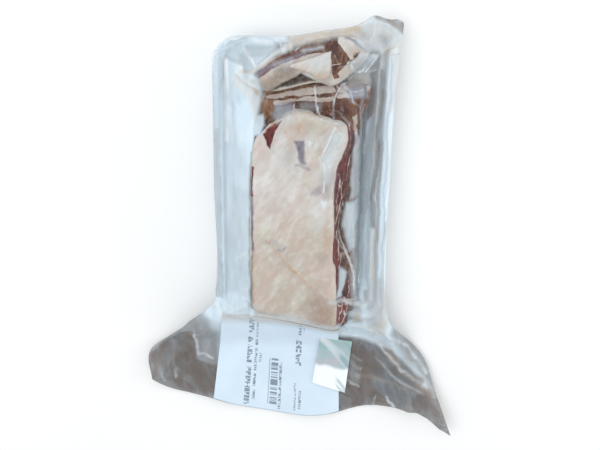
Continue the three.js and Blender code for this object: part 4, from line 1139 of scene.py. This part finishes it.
def foam_surface(section_steps=150, arc_steps=18, side_steps=64, end_steps=38, floor_rings=10):
    """Foam tray: its section carried round rounded rectangles, drawn in by the section's inset, then bent.

    Returns the points with both poles, the number of rings and the points in a ring.
    """
    inset, height = even_section(FOAM_SECTION, section_steps)
    radius = np.maximum(TRAY_CORNER - inset, FOAM_LEAST_CORNER)[:, None]
    reach_x = (TRAY_HALF_WIDTH - inset)[:, None] - radius
    reach_y = (TRAY_HALF_LENGTH - inset)[:, None] - radius
    corner_signs = [(1, 1), (-1, 1), (-1, -1), (1, -1)]

    def on_corner(quarter, angle):
        sign_x, sign_y = corner_signs[quarter % 4]
        x = sign_x * reach_x + radius * np.cos(angle)
        y = sign_y * reach_y + radius * np.sin(angle)
        return np.stack([x, y], -1)

    arc = np.linspace(0, np.pi / 2, arc_steps)
    runs = []
    for quarter in range(4):
        corner = on_corner(quarter, arc + quarter * np.pi / 2)
        start = corner[:, -1:]
        goal = on_corner(quarter + 1, (quarter + 1) * np.pi / 2)
        steps = end_steps if quarter % 2 == 0 else side_steps
        share = np.linspace(0, 1, steps, endpoint=False)[None, 1:, None]
        runs += [corner, start + share * (goal - start)]
    plan = np.concatenate(runs, 1)

    shrink = np.linspace(0.08, 0.94, floor_rings)[:, None, None]
    plan = np.concatenate([shrink * plan[:1], plan, shrink[::-1] * plan[-1:]])
    level = np.concatenate([np.full(floor_rings, height[0]), height, np.full(floor_rings, height[-1])])
    x, y = plan[..., 0], plan[..., 1]
    z = np.broadcast_to(level[:, None], x.shape)
    bent = np.stack([x - side_shift(x, y), y + kink_shift(x, y), z], -1)
    first = [[0, 0, level[0]]]
    last = [[0, 0, level[-1]]]
    return np.concatenate([first, bent.reshape(-1, 3), last]), *x.shape


def foam_stain(x, y, z):
    """Juice on the foam: smooth steps along each axis at the far rim, and a bell curve over the ledge."""
    rim = np.prod([smoothstep(place, *RIM_STAIN[axis]) for axis, place in zip("xyz", (x, y, z))], 0)
    off_track = (tray_inset(x, y) - LEDGE_STAIN["inset"]) / LEDGE_STAIN["width"]
    ledge = LEDGE_STAIN["strength"] * smoothstep(x, *LEDGE_STAIN["x"]) * np.exp(-(off_track**2))
    return np.clip(rim + ledge, 0, 1)


def slab_surface(name, turns=560, tops=84, sides=28, bottoms=8):
    """Slab of meat: its outline shrunk to the centre for the top, carried down its sides, then shrunk again.

    The top follows the film less a clearance, and the sides are roughened inwards. Returns the points with
    both poles, the number of rings, the points in a ring, and for each point its depth below the upper edge
    and the way that its side faces in plan.
    """
    slab = SLABS[name]
    outline = closed_curve(slab["outline"], turns)
    stray = np.stack([noise(*outline.T, cell=6, seed=seed) for seed in (21, 22)], -1)
    outline = outline + OUTLINE_ROUGHNESS * stray
    tangent = np.roll(outline, -3, 0) - np.roll(outline, 3, 0)
    normal = np.stack([tangent[:, 1], -tangent[:, 0]], -1) / np.hypot(*tangent.T)[:, None]
    centre = np.array(slab["centre"], float)

    # The rings of the top stand closer together towards the edge.
    share = 1 - (1 - np.linspace(0, 1, tops + 1)[1:]) ** 1.35
    top = centre + share[:, None, None] * (outline - centre)
    x, y = top[..., 0], top[..., 1]
    height = slab_height(slab, x, y) - MEAT_CLEARANCE + RELIEFS[name](x, y)
    top = np.concatenate([top, height[..., None]], -1)

    lean = slab["lean_out"]
    reach = broken_line(lean["right"])(outline[:, 1]) * np.maximum(normal[:, 0], 0)
    reach = reach + lean["left"] * np.maximum(-normal[:, 0], 0)
    reach = reach + lean["far"] * np.maximum(normal[:, 1], 0) + lean["near"] * np.maximum(-normal[:, 1], 0)
    down = np.linspace(0, 1, sides + 1)[1:, None]
    side_height = height[-1] + down * (slab["bottom"] - height[-1])
    plan = outline + (down * reach)[..., None] * normal
    rough = 0.5 + 0.5 * noise(plan[..., 0], plan[..., 1], side_height, cell=5, seed=23)
    plan = plan - (SIDE_ROUGHNESS * rough * smoothstep(down, 0, 0.2))[..., None] * normal
    side = np.concatenate([plan, side_height[..., None]], -1)

    inward = np.linspace(1, 0, bottoms + 1)[1:-1, None, None]
    under = centre + inward * (plan[-1] - centre)
    under = np.concatenate([under, np.full((*under.shape[:2], 1), float(slab["bottom"]))], -1)

    rings = np.concatenate([top, side, under])
    edge_height = np.broadcast_to(height[-1], rings.shape[:2])
    depth = np.maximum(edge_height - rings[..., 2], 0)
    depth[:tops] = 0
    first = [[*centre, height[0].mean()]]
    last = [[*centre, slab["bottom"]]]
    points = np.concatenate([first, rings.reshape(-1, 3), last])
    facing = np.broadcast_to(normal, (*rings.shape[:2], 2)).reshape(-1, 2)
    facing = np.concatenate([[[0, 0]], facing, [[0, 0]]])
    depth = np.concatenate([[0], depth.ravel(), [depth[-1].mean()]])
    return points, rings.shape[0], turns, depth, facing


def slab_marks(name, points, depth, facing, cap):
    """Value of each kind of mark at each point of a slab.

    A patch fades over its softness at its outline and a line past its half width, at noise-shifted places.
    Below the upper edge the fat cap gives way to lean at an uneven depth, with one seam of fat.
    """
    x, y, z = points.T
    shifted_x = x + MARK_STRAY[name] * noise(x, y, z, cell=5, seed=31, octaves=3)
    shifted_y = y + MARK_STRAY[name] * noise(x, y, z, cell=5, seed=32, octaves=3)
    values = {kind: np.zeros(len(points)) for kind in MARK_KINDS}
    values["aged"] = smoothstep(y, *FRONT_BROWNED) if name == "slab_front" else np.ones(len(points))
    if name == "slab_middle":
        values["lean"][:] = 1
    fat = np.zeros(len(points))
    for kind, *mark, strength in MARKS[name]:
        share = strength * cover(shifted_x, shifted_y, *mark)
        if kind == "fat":
            values["lean"] *= 1 - share
            values["blood"] *= 1 - share
            fat = np.maximum(fat, share)
        else:
            values[kind] = np.maximum(values[kind], share)
    if name == "slab_middle":
        layers = noise(0.2 * x, y - 0.08 * x, cell=2.2, seed=35, octaves=3)
        values["lean"] = np.clip(values["lean"] + 0.5 * layers * smoothstep(y, *MIDDLE_LAYERED), 0, 1)
    if name != "fat_flap":
        wander = noise(x, y, z, cell=14, seed=33)
        cap_depth = cap * (0.75 + 0.5 * wander) * (1 - 0.75 * np.maximum(facing[:, 0], 0))
        side = smoothstep(depth, cap_depth - 0.6, cap_depth + 0.6) * (depth > 0)
        off_seam = (depth - SIDE_SEAM["depth"] - SIDE_SEAM["wander"] * wander) / SIDE_SEAM["width"]
        seam = np.exp(-(off_seam**2)) * (depth > 0)
        seam = seam * smoothstep(noise(x, y, z, cell=11, seed=34), 0.0, 0.4)
        values["lean"] = np.where(depth > 0, np.minimum(side * (1 - seam), 1 - fat), values["lean"])
    return values


def sheet_faces(rows, columns, step):
    """Faces of a closed plate: a fine upper grid, a lower grid with every step-th column, and joining bands.

    Along the near and far ends each lower point takes a fan of upper points.
    """
    index = np.arange(rows * columns).reshape(rows, columns)
    groups = (columns - 1) // step
    low = rows * columns + np.arange(rows * (groups + 1)).reshape(rows, groups + 1)
    right = np.stack([index[:-1, -1], low[:-1, -1], low[1:, -1], index[1:, -1]], -1)
    left = np.stack([index[1:, 0], low[1:, 0], low[:-1, 0], index[:-1, 0]], -1)
    group = np.repeat(np.arange(groups), step)
    near_fan = np.stack([index[0, :-1], low[0, group], index[0, 1:]], -1)
    near_base = np.stack([index[0, step::step], low[0, :-1], low[0, 1:]], -1)
    far_fan = np.stack([index[-1, 1:], low[-1, group + 1], index[-1, :-1]], -1)
    far_base = np.stack([index[-1, :-1:step], low[-1, 1:], low[-1, :-1]], -1)
    upper, lower = grid_faces(index), grid_faces(low)[:, ::-1]
    blocks = (upper, lower, right, left, near_fan, near_base, far_fan, far_base)
    return [face for block in blocks for face in block.tolist()]


def film_surface(rows_skirt=72, rows_tray=276, columns=241):
    """Bag film: rows from the hem to the far end, from the left to the right edge, at the film's height.

    Returns the plan places and the upper heights without creases.
    """
    rows = np.concatenate([
        np.linspace(SKIRT_HEM, SKIRT_START, rows_skirt, endpoint=False),
        np.linspace(SKIRT_START, TRAY_HALF_LENGTH, rows_tray),
    ])[:, None]
    share = np.linspace(0, 1, columns)[None, :]

    def corner_pull(radius):
        rise = np.clip(rows - TRAY_HALF_LENGTH + radius, 0, radius)
        return radius - np.sqrt(radius**2 - rise**2)

    left = curve(SKIRT_LEFT)(rows) + corner_pull(TRAY_CORNER)
    right = curve(SKIRT_RIGHT)(rows) - corner_pull(EAR_EDGE["corner"])
    x = left + share * (right - left)
    bulge = EAR_EDGE["bulge"] * np.exp(-(((x - EAR_EDGE["x"]) / EAR_EDGE["width"]) ** 2))
    far_end = smoothstep(rows, TRAY_HALF_LENGTH - EAR_EDGE["reach"], TRAY_HALF_LENGTH)
    y = rows + curve(SKIRT_HEM_SHIFT)(x) * skirt_share(rows) + kink_shift(x, rows) + bulge * far_end
    x = x - side_shift(x, rows)
    return x, y, film_height(x, y)


def fine_wrinkles():
    """Creases side by side, a step apart, whose place and whiteness waver with sines of their number."""
    ends = np.array([WRINKLES["from"], WRINKLES["to"]], float)
    height, half_width = WRINKLES["height"], WRINKLES["width"]
    wrinkles = []
    for number in range(WRINKLES["count"]):
        shift = np.multiply(WRINKLES["step"], number + 0.4 * math.sin(7 * number))
        wrinkles.append((ends + shift, height, half_width, 0.25 + 0.2 * math.sin(5 * number)))
    return wrinkles


def film_creases(x, y, film):
    """Creases as sharp ridges that fade exponentially from their lines, and lumps of meat under the film.

    Returns the rise, how white the creases are, and how close the meat lies.
    """
    rise = np.zeros(x.shape)
    white = np.zeros(x.shape)
    shift = 0.7 * noise(x, y, cell=4, seed=44)
    broken = 0.35 + 0.65 * smoothstep(noise(x, y, cell=5, seed=45), -0.3, 0.4)
    for points, height, half_width, whiteness in CREASES + fine_wrinkles():
        distance = line_distance(x + shift, y + shift, points)
        rise = rise + height * np.exp(-distance / half_width)
        white = np.maximum(white, whiteness * broken * np.exp(-((distance / half_width) ** 2)))
    meat = np.zeros(x.shape)
    for name, slab in SLABS.items():
        gap = film - slab_height(slab, x, y)
        rise = rise + RELIEFS[name](x, y) * (1 - smoothstep(gap, 0.3, 2.5))
        meat = np.maximum(meat, 1 - smoothstep(gap, 1, 5))
    return rise, white, meat


def film_values(x, y, white, meat):
    """Haze, smoky tint with painted shade, juice and painted shine of the film: the strongest field at each
    point, fading at its outline.
    """
    shifted_x = x + 1.2 * noise(x, y, cell=9, seed=42)
    shifted_y = y + 1.2 * noise(x, y, cell=9, seed=43)
    skirt = smoothstep(-tray_inset(x, y), -2, 6) * (y < 0)
    values = {kind: np.zeros(x.shape) for kind in FILM_KINDS}
    values["haze"] = np.maximum(0.06 - 0.04 * meat + 0.02 * noise(x, y, cell=18, seed=41), 0.75 * skirt)
    uneven = 1 + 0.2 * noise(x, 0.2 * y, cell=4, seed=46, octaves=3)
    for *field, strengths in FILM_FIELDS:
        share = uneven * cover(shifted_x, shifted_y, *field)
        for kind, strength in strengths.items():
            values[kind] = np.maximum(values[kind], np.clip(strength * share, 0, 1))
    values["haze"] = np.clip(np.maximum(values["haze"], white), 0, 1)
    values["smoke"] = values["smoke"] * (1 - white)
    # The creases' whiteness is also a painted highlight.
    values["shine"] = np.maximum(values["shine"], 0.7 * white)
    return values


def sticker_surface(sticker, thickness):
    """Thin sheet: straight blends between four corners in plan, raised over the film, and its underside.

    A sticker that follows the hem starts a margin inside it. Returns both sides and the shares across and
    along.
    """
    near_left, near_right, far_right, far_left = sticker["corners"]
    across = np.linspace(0, 1, sticker["cells"][0] + 1)[None, :]
    along = np.linspace(0, 1, sticker["cells"][1] + 1)[:, None]

    def blend(start, end, share):
        return start + share * (end - start)

    x = blend(blend(near_left[0], near_right[0], across), blend(far_left[0], far_right[0], across), along)
    near = blend(near_left[1], near_right[1], across)
    if sticker["follows_hem"]:
        near = SKIRT_HEM + curve(SKIRT_HEM_SHIFT)(x) + HEM_MARGIN
    far = blend(far_left[1], far_right[1], across) + sticker["far_bow"] * 4 * across * (1 - across)
    y = blend(near, far, along)
    lift = sticker["lift"] * (1 - STICKER_SINK * smoothstep(along, STICKER_SINK_START, 1))
    top = np.stack([x, y, film_height(x, y) + lift], -1)
    return top, top - [0, 0, thickness], across + 0 * along, along + 0 * across


def print_ink(across, along):
    """Plain print: bars cut along their length into dashes, each with some of its six parts left out."""
    ink = np.zeros(across.shape)
    for number, (left, right, near, far, dash) in enumerate(PRINT):
        inside = (across > left) & (across < right) & (along > near) & (along < far)
        if dash < 0:
            stripe = np.floor((along - near) * PRINT_LENGTH / -dash).astype(np.int64)
            inside = inside & (scramble(stripe, 0, number, 62) > 0.38)
        elif dash:
            place = (along - near) * PRINT_LENGTH / dash
            cell = np.floor(place).astype(np.int64)
            part = np.floor((place - cell) * 2).astype(np.int64)
            height = np.floor((across - left) / (right - left) * 3).astype(np.int64)
            inside = inside & (place - cell < 0.8) & (scramble(cell * 2 + part, height, number, 61) > 0.28)
        ink = np.maximum(ink, inside)
    return ink


def foil_sheen(across, along):
    """Painted white glare of the foil and the painted shade of its creases: a ragged edge across it, and
    streaks of noise along a slant.
    """
    edge = GLARE_REACH + 0.08 * noise(20 * across, 0 * along, cell=7, seed=53)
    slant = 30 * along + 14 * across
    streak = smoothstep(noise(slant, 4 * across, cell=3.2, seed=54), 0.05, 0.35)
    streak = streak * smoothstep(across, *FOIL_CREASES_FROM)
    glare = 1 - smoothstep(along, edge - 0.05, edge + 0.04)
    glare = np.maximum(glare, 0.5 * smoothstep(noise(slant, 3 * across, cell=6, seed=55), 0.2, 0.5))
    return glare, streak


def colour_setting(name, description, default):
    """Colour that a user may change."""
    settings = {"name": name, "description": description, "default": default}
    return FloatVectorProperty(subtype="COLOR", size=3, min=0, max=1, **settings)


def number_setting(name, description, default, **limits):
    """Number that a user may change."""
    return FloatProperty(name=name, description=description, default=default, **limits)


def length_setting(name, description, default):
    """Length in metres that a user may change."""
    return number_setting(name, description, default, unit="LENGTH", min=0, precision=4)


def power_setting(name, description, default):
    """Power of a light in watts that a user may change."""
    return number_setting(name, description, default, unit="POWER", min=0)


def angle_setting(name, description, degrees):
    """Angle that a user may change."""
    return number_setting(name, description, math.radians(degrees), subtype="ANGLE")


class TraySettings(bpy.types.PropertyGroup):
    """Colours and beads of the foam tray."""

    foam_colour: colour_setting("Foam", "Lit colour of the foam", (0.74, 0.84, 0.90))
    foam_shade: colour_setting("Foam shade", "Duller clouds in the foam", (0.70, 0.80, 0.87))
    stain_colour: colour_setting("Juice stain", "Dried juice on the rim", (0.74, 0.60, 0.43))
    bead_size: length_setting("Bead size", "Width of one foam bead", 0.0016)


class MeatSettings(bpy.types.PropertyGroup):
    """Colours of the fat and the lean, and how thick the fat cap is."""

    cap: length_setting("Fat cap", "Thickness of the fat cap at the sides", 0.005)
    fat_colour: colour_setting("Fat", "Cream fat", (0.62, 0.61, 0.575))
    blush_colour: colour_setting("Blush", "Pink clouds in the fat", (0.58, 0.45, 0.40))
    yellow_colour: colour_setting("Yellow fat", "Yellower clouds in the fat", (0.63, 0.59, 0.47))
    tan_colour: colour_setting("Tan", "Darker fat at the near end", (0.46, 0.385, 0.295))
    streak_colour: colour_setting("Streak", "Darker streaks in the fat", (0.49, 0.40, 0.335))
    pale_colour: colour_setting("Pale streak", "Paler streaks in the fat", (0.74, 0.75, 0.74))
    lean_colour: colour_setting("Lean", "Red meat", (0.205, 0.036, 0.026))
    dark_lean_colour: colour_setting("Dark lean", "Dark red meat", (0.055, 0.009, 0.01))
    aged_colour: colour_setting("Aged lean", "Browned meat", (0.235, 0.112, 0.068))
    dark_aged_colour: colour_setting("Dark aged lean", "Dark browned meat", (0.085, 0.036, 0.026))
    sinew_colour: colour_setting("Sinew", "Marbling in the lean", (0.56, 0.45, 0.38))
    blood_colour: colour_setting("Blood", "Wet red meat", (0.195, 0.022, 0.016))
    # Purple grey meat, also used faintly as painted shade over the lobe.
    bruise_and_shade_colour: colour_setting("Bruise", "Purple grey meat under fat", (0.24, 0.21, 0.26))
    orange_colour: colour_setting("Orange", "Orange rubbed fat", (0.52, 0.29, 0.15))
    # Colour of the painted shade in hollows, grooves and gaps.
    painted_shade_colour: colour_setting("Cavity", "Dark hollow under the flap", (0.06, 0.042, 0.032))


class FilmSettings(bpy.types.PropertyGroup):
    """Colours of the bag's film."""

    haze_colour: colour_setting("Haze", "Milky folded film", (0.72, 0.845, 0.93))
    # The smoky colours also paint shade on the tray's walls and edges.
    smoke_and_shade_colour: colour_setting("Smoke", "Double film of the skirt", (0.16, 0.12, 0.098))
    cool_smoke_colour: colour_setting("Cool smoke", "Blue grey clouds in the skirt", (0.165, 0.175, 0.19))
    # Pale smoky colour: wisps, and painted glints and facet sheen.
    pale_smoke_and_glint_colour: colour_setting("Pale smoke", "Paler wisps in the skirt", (0.28, 0.30, 0.32))
    juice_colour: colour_setting("Juice", "Meat juice under the film", (0.66, 0.52, 0.39))
    # Colour of the painted highlights on the film's folds.
    shine_colour: colour_setting("Shine", "Bright folds of the film", (0.97, 0.985, 1.0))


class LabelSettings(bpy.types.PropertyGroup):
    """Thickness and colours of the paper label."""

    thickness: length_setting("Thickness", "Thickness of the paper", 0.0003)
    paper_colour: colour_setting("Paper", "Paper", (0.69, 0.81, 0.92))
    paper_shade: colour_setting("Paper shade", "Faint clouds in the paper", (0.65, 0.77, 0.88))
    # Colour of the painted shadow of the meat on the label's far end.
    painted_shadow_colour: colour_setting("Shadowed paper", "Far end of the paper, against the meat", (0.56, 0.56, 0.545))
    ink_colour: colour_setting("Ink", "Grey print", (0.22, 0.27, 0.33))


class FoilSettings(bpy.types.PropertyGroup):
    """Thickness and colours of the foil sticker."""

    thickness: length_setting("Thickness", "Thickness of the foil", 0.0003)
    silver: colour_setting("Silver", "Plain silver", (0.50, 0.60, 0.63))
    cool_tint: colour_setting("Cool tint", "Green blue sheen", (0.40, 0.60, 0.58))
    warm_tint: colour_setting("Warm tint", "Pink sheen", (0.62, 0.58, 0.62))
    # The crease colour is painted shade and the glare colour a painted highlight.
    crease_shade_colour: colour_setting("Creases", "Dark creases by the right edge", (0.33, 0.46, 0.52))
    glare_colour: colour_setting("Glare", "White glare at the near end", (0.92, 0.97, 1.0))


class StageSettings(bpy.types.PropertyGroup):
    """Floor, lights and camera."""

    floor_colour: colour_setting("Floor", "Pale floor", (0.96, 0.955, 0.945))
    floor_shade: colour_setting("Floor shade", "Faint clouds in the floor", (0.94, 0.935, 0.93))
    ambient: number_setting("Ambient", "Strength of the even light", 0.72, min=0)
    key_power: power_setting("Key light", "Power of the left light", 4.2)
    side_power: power_setting("Side light", "Power of the low right light", 1.8)
    top_power: power_setting("Top light", "Power of the far light", 1.5)
    focal_length: number_setting("Focal length", "Focal length of the lens", 48.0, unit="CAMERA", min=1)
    distance: length_setting("Distance", "Camera distance", 0.58)
    tilt: angle_setting("Tilt", "Lean to the far end", 18)
    roll: angle_setting("Roll", "Turn of the picture", 1)


class PackSettings(bpy.types.PropertyGroup):
    """All settings of the pack."""

    tray: PointerProperty(type=TraySettings)
    meat: PointerProperty(type=MeatSettings)
    film: PointerProperty(type=FilmSettings)
    label: PointerProperty(type=LabelSettings)
    foil: PointerProperty(type=FoilSettings)
    stage: PointerProperty(type=StageSettings)


class RIBPACK_OT_stage(bpy.types.Operator):
    """Adds the floor, the lights, the world and the camera"""

    bl_idname = "ribpack.stage"
    bl_label = "Stage"

    def execute(self, context):
        stage = context.scene.rib_pack.stage
        steps = np.linspace(-FLOOR["half_width"], FLOOR["half_width"], FLOOR["cells"] + 1)
        x, y = np.meshgrid(steps, steps)
        top = np.stack([x, y, np.full(x.shape, FLOOR["level"])], -1)
        points = np.concatenate([top, top - [0, 0, FLOOR["thickness"]]])
        floor = mesh_object("floor", points, plate_faces(*x.shape), floor_material(stage))

        world = bpy.data.worlds.new("studio")
        context.scene.world = world
        world.use_nodes = True
        background = world.node_tree.nodes["Background"]
        background.inputs["Color"].default_value = AMBIENT_COLOUR
        background.inputs["Strength"].default_value = stage.ambient

        powers = {"key": stage.key_power, "side": stage.side_power, "top": stage.top_power}
        for name, power in powers.items():
            self.add_light(context, f"{name}_light", power, *LIGHTS[name])

        camera = bpy.data.objects.new("camera", bpy.data.cameras.new("camera"))
        camera.data.lens = stage.focal_length
        camera.data.sensor_width = SENSOR_WIDTH
        back = Vector((0, math.sin(stage.tilt), math.cos(stage.tilt)))
        level = Vector((1, 0, 0))
        upward = back.cross(level)
        right = math.cos(stage.roll) * level + math.sin(stage.roll) * upward
        upward = back.cross(right)
        place = Vector([MM * value for value in CAMERA_AIM]) + stage.distance * back
        camera.matrix_world = Matrix.Translation(place) @ Matrix((right, upward, back)).transposed().to_4x4()
        context.scene.collection.objects.link(camera)
        context.scene.camera = camera
        context.scene.view_settings.view_transform = "Standard"
        return {"FINISHED"}

    @staticmethod
    def add_light(context, name, power, place, size, colour):
        """Adds an area light that faces the tray."""
        light = bpy.data.lights.new(name, "AREA")
        light.shape = "RECTANGLE"
        light.size, light.size_y = size
        light.energy = power
        light.color = colour
        lamp = bpy.data.objects.new(name, light)
        lamp.location = place
        lamp.rotation_euler = (Vector(LIGHT_AIM) - Vector(place)).to_track_quat("-Z", "Y").to_euler()
        context.scene.collection.objects.link(lamp)


class RIBPACK_OT_tray(bpy.types.Operator):
    """Adds the foam tray"""

    bl_idname = "ribpack.tray"
    bl_label = "Foam tray"

    def execute(self, context):
        points, rings, count = foam_surface()
        faces = ring_faces(rings, count)
        values = {"stain": foam_stain(*points.T)}
        material = foam_material(context.scene.rib_pack.tray)
        add_piece("foam_tray", points, faces, material, ["sealed_bag"], values)
        return {"FINISHED"}


class RIBPACK_OT_slabs(bpy.types.Operator):
    """Adds the slabs of meat and the flap of fat"""

    bl_idname = "ribpack.slabs"
    bl_label = "Slabs of meat"

    def execute(self, context):
        meat = context.scene.rib_pack.meat
        material = meat_material(meat)
        for name in SLABS:
            points, rings, turns, depth, facing = slab_surface(name)
            values = slab_marks(name, points, depth, facing, meat.cap / MM)
            add_piece(name, points, ring_faces(rings, turns), material, ["sealed_bag"], values)
        return {"FINISHED"}


class RIBPACK_OT_film(bpy.types.Operator):
    """Adds the bag's film"""

    bl_idname = "ribpack.film"
    bl_label = "Bag film"

    def execute(self, context):
        x, y, height = film_surface()
        rise, white, meat = film_creases(x, y, height)
        top = np.stack([x, y, height + rise], -1)
        under = np.stack([x, y, film_underside(x, y, height)], -1)[:, ::UNDERSIDE_STEP]
        points = np.concatenate([top.reshape(-1, 3), under.reshape(-1, 3)])
        faces = sheet_faces(*x.shape, UNDERSIDE_STEP)
        values = film_values(x, y, white, meat)
        for kind, value in values.items():
            values[kind] = np.concatenate([value.ravel(), value[:, ::UNDERSIDE_STEP].ravel()])
        material = film_material(context.scene.rib_pack.film)
        add_piece("film", points, faces, material, ["sealed_bag"], values)
        return {"FINISHED"}


class RIBPACK_OT_label(bpy.types.Operator):
    """Adds the paper label with its plain bars of print"""

    bl_idname = "ribpack.label"
    bl_label = "Paper label"

    def execute(self, context):
        label = context.scene.rib_pack.label
        top, under, across, along = sticker_surface(LABEL, label.thickness / MM)
        ink = print_ink(across, along)
        # Painted shadow of the meat, rising towards the label's far end.
        painted_shadow = smoothstep(along, PAINTED_SHADOW_START, 1)
        values = {"ink": np.concatenate([ink, 0 * ink]), "painted_shadow": np.concatenate([painted_shadow, painted_shadow])}
        points = np.concatenate([top, under])
        faces = plate_faces(*across.shape)
        material = paper_material(label)
        add_piece("paper_label", points, faces, material, ["label"], values)
        return {"FINISHED"}


class RIBPACK_OT_foil(bpy.types.Operator):
    """Adds the creased foil sticker"""

    bl_idname = "ribpack.foil"
    bl_label = "Foil sticker"

    def execute(self, context):
        foil = context.scene.rib_pack.foil
        top, under, across, along = sticker_surface(FOIL, foil.thickness / MM)
        crinkle = 0.5 * np.abs(noise(top[..., 0], top[..., 1], cell=7, seed=51))
        top[..., 2] += crinkle
        under[..., 2] += crinkle
        glare, streak = foil_sheen(across, along)
        # Painted glare, weaker on the upper side where creases cross it, and painted shade in the creases.
        values = {
            "glare": np.concatenate([glare * (1 - 0.6 * streak), glare]),
            "crease_shade": np.concatenate([0.7 * streak, streak]),
        }
        points = np.concatenate([top, under])
        faces = plate_faces(*across.shape)
        material = foil_material(foil)
        add_piece("foil_sticker_creased", points, faces, material, ["foil_sticker"], values)
        return {"FINISHED"}


OPERATORS = (
    RIBPACK_OT_stage,
    RIBPACK_OT_tray,
    RIBPACK_OT_slabs,
    RIBPACK_OT_film,
    RIBPACK_OT_label,
    RIBPACK_OT_foil,
)


class RIBPACK_PT_sidebar(bpy.types.Panel):
    """Lists the operators that make the stage and the pack's pieces"""

    bl_idname = "RIBPACK_PT_sidebar"
    bl_label = "Short Rib Pack"
    bl_space_type = "VIEW_3D"
    bl_region_type = "UI"
    bl_category = "Short Rib Pack"

    def draw(self, context):
        for operator in OPERATORS:
            self.layout.operator(operator.bl_idname)


CLASSES = (
    TraySettings,
    MeatSettings,
    FilmSettings,
    LabelSettings,
    FoilSettings,
    StageSettings,
    PackSettings,
    *OPERATORS,
    RIBPACK_PT_sidebar,
)


def register():
    """Registers the classes and gives every scene the settings."""
    for added in CLASSES:
        bpy.utils.register_class(added)
    bpy.types.Scene.rib_pack = PointerProperty(type=PackSettings)


def unregister():
    """Takes the settings and the classes away again."""
    del bpy.types.Scene.rib_pack
    for added in reversed(CLASSES):
        bpy.utils.unregister_class(added)


def main():
    register()
    bpy.ops.ribpack.stage()
    bpy.ops.ribpack.tray()
    bpy.ops.ribpack.slabs()
    bpy.ops.ribpack.film()
    bpy.ops.ribpack.label()
    bpy.ops.ribpack.foil()


if __name__ == "__main__":
    main()
